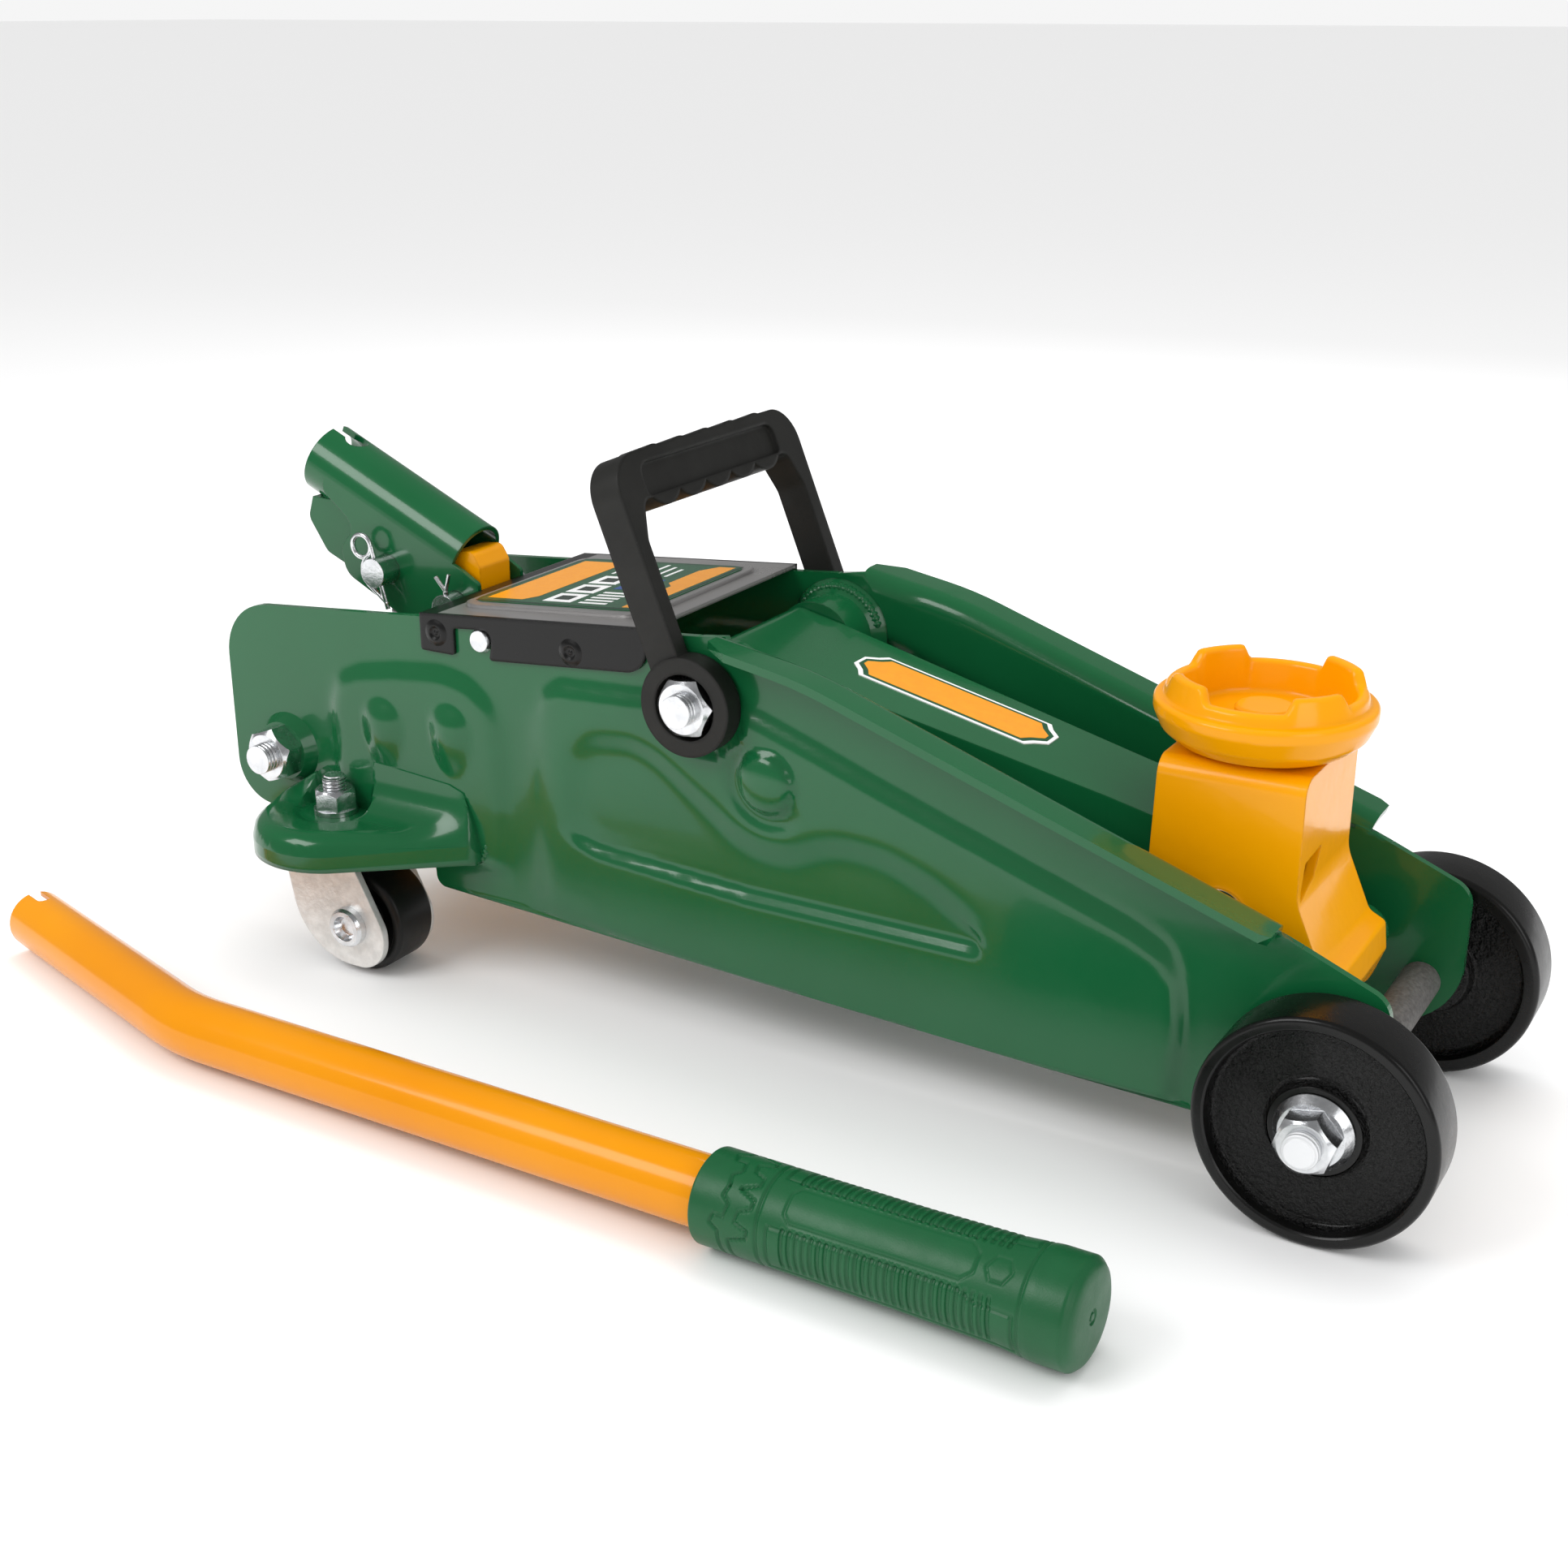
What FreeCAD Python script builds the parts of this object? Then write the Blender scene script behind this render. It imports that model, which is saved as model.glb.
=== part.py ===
import FreeCAD, Part
import math
import os

# Hydraulic floor jack with its loose pump handle. Millimetres.
# Drawing frame: +X to the front wheels, +Y to the left, +Z up, floor at Z = 0,
# front axle at X = 0, middle plane of the jack at Y = 0. The right side is drawn and mirrored.

V = FreeCAD.Vector
X_AXIS = V(1, 0, 0)
Y_AXIS = V(0, 1, 0)
Z_AXIS = V(0, 0, 1)

# ---- driving dimensions ----
WHEEL_R = 33.0                 # front wheel
WHEEL_IN = 47.3                # inner and outer faces of a front wheel, from the middle plane
WHEEL_OUT = 65.8
AXLE = V(0, 0, WHEEL_R)
PLATE_T = 2.5                  # side plate sheet
PLATE_OUT = 44.0
PLATE_IN = PLATE_OUT - PLATE_T
FLANGE_OUT = 57.0              # outward flange tip
BEND_R = 6.0                   # outside radius of the flange bend
TOP_SLOPE = 0.0862             # rise of the rear top edge
REAR_X = -393.5
FLANGE_START = V(-192.0, 0, 133.7)
FLANGE_KNEE = V(-158.3, 0, 128.0)
FLANGE_END = V(-18.0, 0, 81.0)
KNEE_R = 128.0

ARM_PIVOT = V(-200.0, 0, 112.0)
ARM_PIN = V(-42.5, 0, 70.0)            # arm to saddle bracket
LINK_REAR = V(-175.3, 0, 91.0)         # link to side plate
LINK_FRONT = LINK_REAR + ARM_PIN - ARM_PIVOT   # same length as the arm: keeps the bracket level
CRANK_R = 36.0                         # arm pivot to ram roller
CRANK_BACK_DEG = 37.5                  # roller starts this far behind straight down
ROLLER_R = 7.0
CRANK = ARM_PIVOT + V(-CRANK_R * math.sin(math.radians(CRANK_BACK_DEG)), 0,
                      -CRANK_R * math.cos(math.radians(CRANK_BACK_DEG)))
CLEAR = 0.06                           # radial running clearance of every pin and shaft

RAM_Z = 84.0
RAM_R = 8.0
RAM_GAP = 0.8                          # ram head to roller at rest
HEAD_FACE_X = CRANK.x - ROLLER_R - RAM_GAP
HEAD_T = 7.0
BLOCK_REAR_X = -357.0
BLOCK_FRONT_X = -285.0
BLOCK_TOP_Z = 84.0
BLOCK_BOTTOM_Z = 48.0
BLOCK_HALF = 22.0
TANK_R = 22.0
TANK_FRONT_X = -242.0
CAP_FRONT_X = -237.2
CYL_BORE = 13.0
SPRING_Z = 55.0
SPRING_Y = 10.0

SADDLE_X = -41.5
SADDLE_TOP_Z = 135.0
SADDLE_FLOOR_Z = 120.5
SADDLE_RIM_Z = 127.0
SADDLE_RIM_R = 31.0
BRACKET_HALF = 24.0
BRACKET_T = 3.0
BRACKET_TOP_Z = 113.0

HINGE = V(-318.0, 0, 117.0)            # handle socket hinge
CLEVIS = V(-347.0, 0, 126.0)           # pin that works the pump plunger
PLUNGER_X = -347.7
BARREL_TOP_Z = 86.0
BARREL_LOW_Z = 50.5
BARREL_FLOOR = 2.0
STROKE_ROOM = 19.0                     # clear depth under the plunger at rest
SOCKET_MOUTH = V(-381.0, 0, 158.6)
SOCKET_LEN = 68.0
SOCKET_TILT_DEG = 24.2
SOCKET_OR = 12.3
SOCKET_IR = 10.4
SOCKET_ROUND_LEN = 28.0                # full tube next to the mouth
LUG_HALF = 8.0

CASTER_X = -341.0
CASTER_Y = -53.0
CASTER_TRAIL = 14.5
CASTER_R = 17.8
CASTER_W = 17.0
FORK_HALF = 13.0
FORK_T = 2.5
FORK_TOP_Z = 41.0
TRAY_R = 28.0
TRAY_T = 3.0
TRAY_EDGE_R = 7.0
SEAT_DROP = 1.2                        # flat spot under the stud's washer
TRAY_TOP_Z = 53.0
TRAY_LOW_Z = 40.5
STUD_R = 4.0
STUD_TOP_Z = 65.0

BAIL_LEAN_DEG = 22.0
BAIL_IN = 45.7
BAIL_OUT = 51.4
BAIL_REAR = -8.2                       # rear and front faces, from the pivot's upright plane
BAIL_FRONT = 2.8
BAIL_TOP = 75.9                        # pivot to the outer edge of the grip
BAIL_GRIP_H = 18.0
EYE_R = 15.3
EYE_OUT = 53.0

TIE = V(-368.5, 0, 67.0)
PAD_OUT = 48.0                         # raised pad under the nuts of the rear tie bolt
PAD_R = 12.6
UPPER_TIE = V(-282.2, 0, 118.2)
LABEL_Y = 3.0                          # badge sits a little to the left of the arm's middle
VALVE_Y = 13.5
VALVE_Z = 79.0

COVER_T = 1.3
COVER_OUT = 45.3
COVER_REAR_X = -306.0
COVER_FRONT_X = -218.5

TUBE_R = 10.0                          # loose pump handle
TUBE_WALL = 1.6
HANDLE_TIP = V(-435.5, -104.0, TUBE_R)
HANDLE_BEND = V(-330.3, -137.4, 11.2)
HANDLE_SKEW = 0.0194                   # sideways run of the long leg for each mm forward
GRIP_START_X = -135.0
GRIP_END_X = -27.0
GRIP_END_R = 14.5
GRIP_R = 13.2
GRIP_TILT_RISE = 0.12                  # lets the tilted end just touch the floor

NODES = {}


def cyl(start, axis, r, length):
    return Part.makeCylinder(r, length, start, axis)


def along_y(point, r, y0, y1):
    return cyl(V(point.x, y0, point.z), Y_AXIS, r, y1 - y0)


def both_sides(shape):
    return Part.makeCompound([shape, mirrored(shape)])


def mirrored(shape):
    return shape.mirror(V(0, 0, 0), Y_AXIS)


def box(x0, x1, y0, y1, z0, z1):
    return Part.makeBox(x1 - x0, y1 - y0, z1 - z0, V(x0, y0, z0))


def rounded_wire(corners, place):
    """Closed wire through (a, b, radius) corners; place(a, b) puts a point in space."""
    edges = []
    count = len(corners)
    ends = []
    for i in range(count):
        a0, b0, _ = corners[i - 1]
        a1, b1, r = corners[i]
        a2, b2, _ = corners[(i + 1) % count]
        u = V(a0 - a1, b0 - b1, 0)
        w = V(a2 - a1, b2 - b1, 0)
        u.normalize()
        w.normalize()
        corner = V(a1, b1, 0)
        half = u.getAngle(w) / 2
        if r <= 0:
            ends.append((corner, corner, None))
            continue
        run = r / math.tan(half)
        bisector = u + w
        bisector.normalize()
        middle = corner + bisector * (r / math.sin(half) - r)
        ends.append((corner + u * run, corner + w * run, middle))
    for i in range(count):
        start, stop, middle = ends[i]
        if middle is not None:
            edges.append(Part.Arc(place(start), place(middle), place(stop)).toShape())
        following = ends[(i + 1) % count][0]
        if (following - stop).Length > 1e-6:
            edges.append(Part.makeLine(place(stop), place(following)))
    return Part.Wire(edges)


def xz_prism(corners, y0, y1):
    """Outline of (x, z, radius) corners, solid between y0 and y1."""
    wire = rounded_wire(corners, lambda p: V(p.x, y0, p.y))
    return Part.Face(wire).extrude(V(0, y1 - y0, 0))


def xy_prism(corners, z0, z1):
    wire = rounded_wire(corners, lambda p: V(p.x, p.y, z0))
    return Part.Face(wire).extrude(V(0, 0, z1 - z0))


def yz_prism(corners, x0, x1):
    wire = rounded_wire(corners, lambda p: V(x0, p.x, p.y))
    return Part.Face(wire).extrude(V(x1 - x0, 0, 0))


def hex_prism(start, axis, across_flats, length, turn_deg=0.0):
    corner_r = across_flats / math.sqrt(3)
    points = []
    for k in range(7):
        a = math.radians(60 * k + turn_deg)
        points.append(V(corner_r * math.cos(a), corner_r * math.sin(a), 0))
    prism = Part.Face(Part.makePolygon(points)).extrude(V(0, 0, length))
    chamfer = min(0.12 * across_flats, length / 2)
    cone = Part.makeCone(corner_r + 0.02, corner_r - chamfer, chamfer, V(0, 0, length - chamfer))
    body = Part.makeCylinder(corner_r + 0.02, length - chamfer)
    prism = prism.common(body.fuse(cone))
    prism.Placement = FreeCAD.Placement(start, FreeCAD.Rotation(Z_AXIS, axis))
    return prism


def hex_nut(start, axis, across_flats, length, bore_r, turn_deg=0.0):
    return hex_prism(start, axis, across_flats, length, turn_deg).cut(cyl(start, axis, bore_r, length))


def revolve_y(profile, centre):
    """Profile of (radius, y) points turned about the Y line through centre."""
    points = [V(centre.x + r, y, centre.z) for r, y in profile]
    points.append(points[0])
    face = Part.Face(Part.makePolygon(points))
    return face.revolve(V(centre.x, 0, centre.z), Y_AXIS, 360)


def revolve_z(profile, x, y):
    points = [V(x + r, y, z) for r, z in profile]
    points.append(points[0])
    return Part.Face(Part.makePolygon(points)).revolve(V(x, y, 0), Z_AXIS, 360)


def spring(centre_start, axis, coil_r, wire_r, length, turns):
    """Close coil with plain ends, drawn as one swept wire."""
    helix = Part.makeHelix(length / turns, length, coil_r)
    section = Part.Wire(Part.makeCircle(wire_r, V(coil_r, 0, 0), Y_AXIS))
    coil = Part.Wire(helix.Edges).makePipeShell([section], True, True)
    coil.Placement = FreeCAD.Placement(centre_start, FreeCAD.Rotation(Z_AXIS, axis))
    return Part.Solid(coil) if coil.ShapeType != "Solid" else coil


def plate_top_z(x):
    """Top edge of the side plate behind the flange."""
    return 131.4 + TOP_SLOPE * (x + 204.0)


# ---- frame ----

def flange_sweep():
    """Bent flange along the knee of the top edge, with a short leg that joins the flat web."""
    first = FLANGE_KNEE - FLANGE_START
    first.normalize()
    last = FLANGE_END - FLANGE_KNEE
    last.normalize()
    run = KNEE_R * math.tan(first.getAngle(last) / 2)
    arc_in = FLANGE_KNEE - first * run
    arc_out = FLANGE_KNEE + last * run
    up = V(-first.z, 0, first.x)
    centre = arc_in - up * KNEE_R
    toward = FLANGE_KNEE - centre
    toward.normalize()
    middle = centre + toward * KNEE_R
    path = Part.Wire([Part.makeLine(FLANGE_START, arc_in),
                      Part.Arc(arc_in, middle, arc_out).toShape(),
                      Part.makeLine(arc_out, FLANGE_END)])

    def at(y, n):
        return V(FLANGE_START.x, 0, FLANGE_START.z) + V(0, y, 0) + up * n

    leg = -BEND_R - 4.0
    inner_r = BEND_R - PLATE_T
    bend_y = -PLATE_IN - BEND_R
    s = math.sqrt(0.5)
    outer_arc = Part.Arc(at(-PLATE_IN, -BEND_R), at(bend_y + BEND_R * s, -BEND_R + BEND_R * s), at(bend_y, 0))
    inner_arc = Part.Arc(at(bend_y, -PLATE_T), at(bend_y + inner_r * s, -BEND_R + inner_r * s),
                         at(-PLATE_OUT, -BEND_R))
    profile = Part.Wire([
        Part.makeLine(at(-PLATE_IN, leg), at(-PLATE_IN, -BEND_R)),
        outer_arc.toShape(),
        Part.makeLine(at(bend_y, 0), at(-FLANGE_OUT, 0)),
        Part.makeLine(at(-FLANGE_OUT, 0), at(-FLANGE_OUT, -PLATE_T)),
        Part.makeLine(at(-FLANGE_OUT, -PLATE_T), at(bend_y, -PLATE_T)),
        inner_arc.toShape(),
        Part.makeLine(at(-PLATE_OUT, -BEND_R), at(-PLATE_OUT, leg)),
        Part.makeLine(at(-PLATE_OUT, leg), at(-PLATE_IN, leg)),
    ])
    swept = path.makePipeShell([profile], True, False)
    corner = FLANGE_OUT - 47.0
    front_cut = xy_prism([(FLANGE_END.x - 5, -FLANGE_OUT - 1, 0), (FLANGE_END.x + 9, -FLANGE_OUT - 1, 0),
                          (FLANGE_END.x + 9, -FLANGE_OUT + 6, 0)], 60, 100)
    rear_cut = xy_prism([(FLANGE_START.x - 8, -FLANGE_OUT - 1, 0),
                         (FLANGE_START.x + corner, -FLANGE_OUT - 1, 0),
                         (FLANGE_START.x - 8, -FLANGE_OUT + corner, 0)], 110, 145)
    return swept.cut(front_cut).cut(rear_cut)


def side_plate():
    drop = BEND_R + 2.0
    web = [
        (REAR_X, 44.0, 15.0),
        (REAR_X, plate_top_z(REAR_X), 20.0),
        (-200.0, plate_top_z(-200.0), 2.0),
        (FLANGE_START.x - 2.0, FLANGE_START.z - drop, 2.0),
        (FLANGE_KNEE.x - 1.5, FLANGE_KNEE.z - drop, KNEE_R - drop),
        (FLANGE_END.x - 2.0, FLANGE_END.z - drop, 0),
        (-13.0, 74.6, 3.0),
        (12.0, 64.3, 8.0),
        (12.0, 17.3, 22.0),
        (-306.5, 29.0, 4.0),
        (-306.5, 44.0, 6.0),
    ]
    plate = xz_prism(web, -PLATE_OUT, -PLATE_IN)
    gap_fill = xz_prism([(-200.0, 124.0, 0), (-200.0, plate_top_z(-200.0), 0), (-191.0, 133.0, 0),
                         (-186.0, 124.0, 0)], -PLATE_OUT, -PLATE_IN)
    front_fill = xz_prism([(-24.0, 72.0, 0), (-24.0, 78.5, 0), (-18.2, 76.6, 0), (-13.0, 74.6, 0),
                           (-13.0, 70.0, 0)], -PLATE_OUT, -PLATE_IN)
    pad_h = PAD_OUT - PLATE_OUT
    down = V(0, -1, 0)
    pad = Part.makeCone(PAD_R, PAD_R - 2.5, pad_h, V(TIE.x, -PLATE_OUT, TIE.z), down)
    dish = Part.makeCone(PAD_R - 1.0, PAD_R - 3.5, pad_h, V(TIE.x, -PLATE_IN, TIE.z), down)
    plate = plate.multiFuse([flange_sweep(), gap_fill, front_fill, pad]).removeSplitter().cut(dish)
    holes = [
        along_y(AXLE, 6.0, -PLATE_OUT - 1, -PLATE_IN + 1),
        along_y(ARM_PIVOT, 5.0, -PLATE_OUT - 1, -PLATE_IN + 1),
        along_y(LINK_REAR, 6.0, -PLATE_OUT - 1, -PLATE_IN + 1),
        along_y(TIE, 5.0, -PAD_OUT - 1, -PLATE_IN + 1),
        along_y(UPPER_TIE, 3.0, -PLATE_OUT - 1, -PLATE_IN + 1),
    ]
    return plate.cut(Part.makeCompound(holes))


def front_axle():
    bar = along_y(AXLE, 6.0, -WHEEL_IN + 0.9, WHEEL_IN - 0.9)
    journal = along_y(AXLE, 5.0, -WHEEL_OUT - 10.5, WHEEL_OUT + 10.5)
    rod = bar.fuse(journal).removeSplitter()
    ends = [e for e in rod.Edges if abs(abs(e.CenterOfMass.y) - WHEEL_OUT - 10.5) < 0.01]
    return rod.makeChamfer(1.0, ends)


def axle_nut():
    start = V(0, -WHEEL_OUT + 2.2, WHEEL_R)
    down = V(0, -1, 0)
    flange = Part.makeCone(11.0, 9.0, 2.4, start, down)
    nut = flange.fuse(hex_prism(start + down * 1.0, down, 15.0, 8.6, 12.0))
    return nut.cut(cyl(start, down, 5.0, 12.0))


def tray_plan(offset, y_plate):
    """Outline of the caster bracket from above: round nose about the stud, sides to the plate."""
    r = TRAY_R - offset
    x0 = CASTER_X - r
    x1 = -285.0 - offset
    return [(x0, y_plate, 0), (x0, CASTER_Y - r, r), (CASTER_X + 0.55 * r, CASTER_Y - r, 0.6 * r),
            (x1, y_plate - 8.0, 9.0), (x1, y_plate, 0)]


def caster_bracket():
    """Pressed tray welded to the side plate: round nose, skirt, and a flange up the plate."""
    shell = xy_prism(tray_plan(0, -PLATE_OUT), TRAY_LOW_Z, TRAY_TOP_Z)
    rim = [e for e in shell.Edges if e.BoundBox.ZMin > TRAY_TOP_Z - 0.1 and e.BoundBox.YMin < -PLATE_OUT - 0.1]
    shell = shell.makeFillet(TRAY_EDGE_R, rim)
    hollow = xy_prism(tray_plan(TRAY_T, -PLATE_OUT + 1.0), TRAY_LOW_Z - 1.0, TRAY_TOP_Z - TRAY_T)
    rim = [e for e in hollow.Edges if e.BoundBox.ZMin > TRAY_TOP_Z - TRAY_T - 0.1
           and e.BoundBox.YMin < -PLATE_OUT - 0.1]
    hollow = hollow.makeFillet(TRAY_EDGE_R - TRAY_T, rim)
    tray = shell.cut(hollow)
    flange = xz_prism([(-367.0, TRAY_TOP_Z - TRAY_T, 0), (-341.0, 71.0, 4.0), (-291.0, 67.5, 8.0),
                       (-285.0, 52.0, 10.0), (-285.0, TRAY_LOW_Z, 0), (-288.5, TRAY_LOW_Z, 0),
                       (-288.5, TRAY_TOP_Z - TRAY_T, 0)], -PLATE_OUT - 2.5, -PLATE_OUT)
    sweep_r = 13.0
    y0 = -PLATE_OUT - 2.4
    web = yz_prism([(y0, TRAY_TOP_Z - 0.6, 0), (y0, TRAY_TOP_Z + sweep_r, 0),
                    (y0 - 0.2, TRAY_TOP_Z + sweep_r, 0),
                    (y0 - 0.2, TRAY_TOP_Z, sweep_r * 0.9), (y0 - sweep_r, TRAY_TOP_Z, 0),
                    (y0 - sweep_r, TRAY_TOP_Z - 0.6, 0)], CASTER_X - 14.0, -289.0)
    under_flange = xz_prism([(-367.0, TRAY_TOP_Z - TRAY_T, 0), (-341.0, 70.5, 4.0), (-292.0, 67.0, 8.0),
                             (-287.0, 52.0, 4.0), (-287.0, TRAY_TOP_Z - TRAY_T, 0)],
                            -PLATE_OUT - 30, -PLATE_OUT)
    tray = tray.multiFuse([flange, web.common(under_flange)]).removeSplitter()
    seat = cyl(V(CASTER_X, CASTER_Y, TRAY_TOP_Z - SEAT_DROP), Z_AXIS, 13.0, 30.0)
    hole = cyl(V(CASTER_X, CASTER_Y, TRAY_LOW_Z - 1), Z_AXIS, STUD_R, 40.0)
    wedge = xz_prism([(-322.0, TRAY_LOW_Z - 1, 0), (-322.0, TRAY_LOW_Z, 0), (-296.0, TRAY_LOW_Z + 3.6, 4.0),
                      (-287.5, TRAY_LOW_Z, 0), (-287.5, TRAY_LOW_Z - 1, 0)], -90.0, -PLATE_OUT + 1)
    pad_room = Part.makeCone(PAD_R + 0.1, PAD_R - 2.4, PAD_OUT - PLATE_OUT, V(TIE.x, -PLATE_OUT, TIE.z),
                             V(0, -1, 0))
    return tray.cut(seat).cut(hole).cut(wedge).cut(pad_room)


def caster_stud():
    """Shoulder stud: head under the fork crown, collar above it, thread through the bracket."""
    head_r = 7.0
    head_low_z = 34.6
    head_top_z = FORK_TOP_Z - FORK_T - 0.3
    collar_r = 8.7
    collar_low_z = FORK_TOP_Z + 0.3
    collar_top_z = TRAY_TOP_Z - TRAY_T
    return revolve_z([(0, head_low_z), (head_r - 0.8, head_low_z), (head_r, head_low_z + 0.6),
                      (head_r, head_top_z), (STUD_R, head_top_z), (STUD_R, collar_low_z),
                      (collar_r, collar_low_z), (collar_r, collar_top_z), (STUD_R, collar_top_z),
                      (STUD_R, STUD_TOP_Z - 0.8), (STUD_R - 0.8, STUD_TOP_Z), (0, STUD_TOP_Z)],
                     CASTER_X, CASTER_Y)


def caster_washer():
    seat_z = TRAY_TOP_Z - SEAT_DROP
    ring = cyl(V(CASTER_X, CASTER_Y, seat_z), Z_AXIS, 7.4, 1.8)
    return ring.cut(cyl(V(CASTER_X, CASTER_Y, seat_z), Z_AXIS, STUD_R, 1.8))


def caster_nut():
    return hex_nut(V(CASTER_X, CASTER_Y, TRAY_TOP_Z - SEAT_DROP + 1.8), Z_AXIS, 13.0, 6.8, STUD_R, 15.0)


def caster_fork():
    x, y = CASTER_X, CASTER_Y
    axle = V(x + CASTER_TRAIL, 0, CASTER_R)
    crown = box(x - 13.5, x + 16.5, y - FORK_HALF, y + FORK_HALF, FORK_TOP_Z - FORK_T, FORK_TOP_Z)
    low_z = axle.z - 14.6
    leg_outline = [(x - 13.5, FORK_TOP_Z, 0), (x + 16.5, FORK_TOP_Z, 0), (axle.x + 14.0, axle.z + 0.4, 10.0),
                   (axle.x + 14.0, low_z, 11.0), (axle.x - 20.5, low_z, 24.0)]
    parts = [crown]
    for y0 in (y - FORK_HALF, y + FORK_HALF - FORK_T):
        parts.append(xz_prism(leg_outline, y0, y0 + FORK_T))
    fork = parts[0].multiFuse(parts[1:]).removeSplitter()
    fork = fork.cut(cyl(V(x, y, FORK_TOP_Z - FORK_T - 1), Z_AXIS, STUD_R + CLEAR, FORK_T + 2))
    return fork.cut(along_y(axle, 3.0, y - FORK_HALF - 1, y + FORK_HALF + 1))


def caster_rivet():
    axle = V(CASTER_X + CASTER_TRAIL, 0, CASTER_R)
    y0 = CASTER_Y - FORK_HALF
    y1 = CASTER_Y + FORK_HALF
    return revolve_y([(0, y0 - 1.0), (3.2, y0 - 1.0), (4.4, y0 - 3.6), (6.0, y0 - 3.6), (6.8, y0 - 2.4),
                      (6.8, y0), (3.0, y0), (3.0, y1), (6.0, y1), (6.0, y1 + 1.8), (0, y1 + 1.8)], axle)


def caster_wheel():
    axle = V(CASTER_X + CASTER_TRAIL, 0, CASTER_R)
    h = CASTER_W / 2
    y = CASTER_Y
    side = 4.5                             # depth of the dish in each side
    hub = 1.4                              # hub stands out past the tyre's faces
    bore = 3.0 + CLEAR
    return revolve_y([(bore, y - h - hub), (6.5, y - h - hub), (6.5, y - h + side), (14.0, y - h + side),
                      (14.6, y - h), (CASTER_R - 1.2, y - h), (CASTER_R, y - h + 1.2),
                      (CASTER_R, y + h - 1.2), (CASTER_R - 1.2, y + h), (14.6, y + h), (14.0, y + h - side),
                      (6.5, y + h - side), (6.5, y + h + hub), (bore, y + h + hub)], axle)


def front_wheel():
    """Cast wheel on the right: dished outside face with a hub boss, flat inner hub."""
    out = -WHEEL_OUT
    inner = -WHEEL_IN
    return revolve_y([(5.0 + CLEAR, out + 2.6), (12.8, out + 2.6), (13.6, out + 5.5), (28.6, out + 5.5),
                      (29.6, out), (WHEEL_R - 2.2, out), (WHEEL_R - 0.6, out + 0.7), (WHEEL_R, out + 2.4),
                      (WHEEL_R, inner - 2.4), (WHEEL_R - 0.6, inner - 0.7), (WHEEL_R - 2.2, inner),
                      (28.6, inner), (27.6, inner - 4.0), (13.6, inner - 4.0), (12.0, inner),
                      (5.0 + CLEAR, inner)], AXLE)


def rear_tie_bolt():
    rod = along_y(TIE, 5.0, -60.0, 60.0)
    sleeve = along_y(TIE, 7.0, -PLATE_IN, PLATE_IN)
    return rod.fuse(sleeve).removeSplitter()


def frame_nuts():
    """Two nuts on the rear tie bolt and two on the lift arm's pivot bolt."""
    down = V(0, -1, 0)
    rear = hex_nut(V(TIE.x, -PAD_OUT, TIE.z), down, 17.0, 8.0, 5.0, 20.0)
    pivot = hex_nut(V(ARM_PIVOT.x, -PLATE_OUT - 2.6, ARM_PIVOT.z), down, 17.0, 8.0, 5.0, 5.0)
    return Part.makeCompound([rear, mirrored(rear), pivot, mirrored(pivot)])


def upper_tie_rod():
    rod = along_y(UPPER_TIE, 3.0, -PLATE_OUT, PLATE_OUT)
    head = Part.makeCone(4.2, 3.4, 1.6, V(UPPER_TIE.x, -PLATE_OUT, UPPER_TIE.z), V(0, -1, 0))
    return rod.multiFuse([head, mirrored(head)]).removeSplitter()


def pivot_boss():
    """Short tube welded inside the plate; the arm's pivot tube runs between the two."""
    boss = along_y(ARM_PIVOT, 14.0, -PLATE_IN, -24.6)
    weld = Part.makeCone(18.0, 14.0, 4.0, V(ARM_PIVOT.x, -PLATE_IN, ARM_PIVOT.z), Y_AXIS)
    return boss.fuse(weld).cut(along_y(ARM_PIVOT, 5.0, -PLATE_IN - 1, -24.0))


def pivot_bolt():
    return along_y(ARM_PIVOT, 5.0, -58.0, 58.0)


def link_stud():
    shank = along_y(LINK_REAR, 6.0, -PLATE_OUT, -27.9)
    collar = along_y(LINK_REAR, 9.0, -PLATE_IN, -33.4)
    head = along_y(LINK_REAR, 8.0, -28.1, -26.4)
    return shank.multiFuse([collar, head]).removeSplitter()


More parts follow.
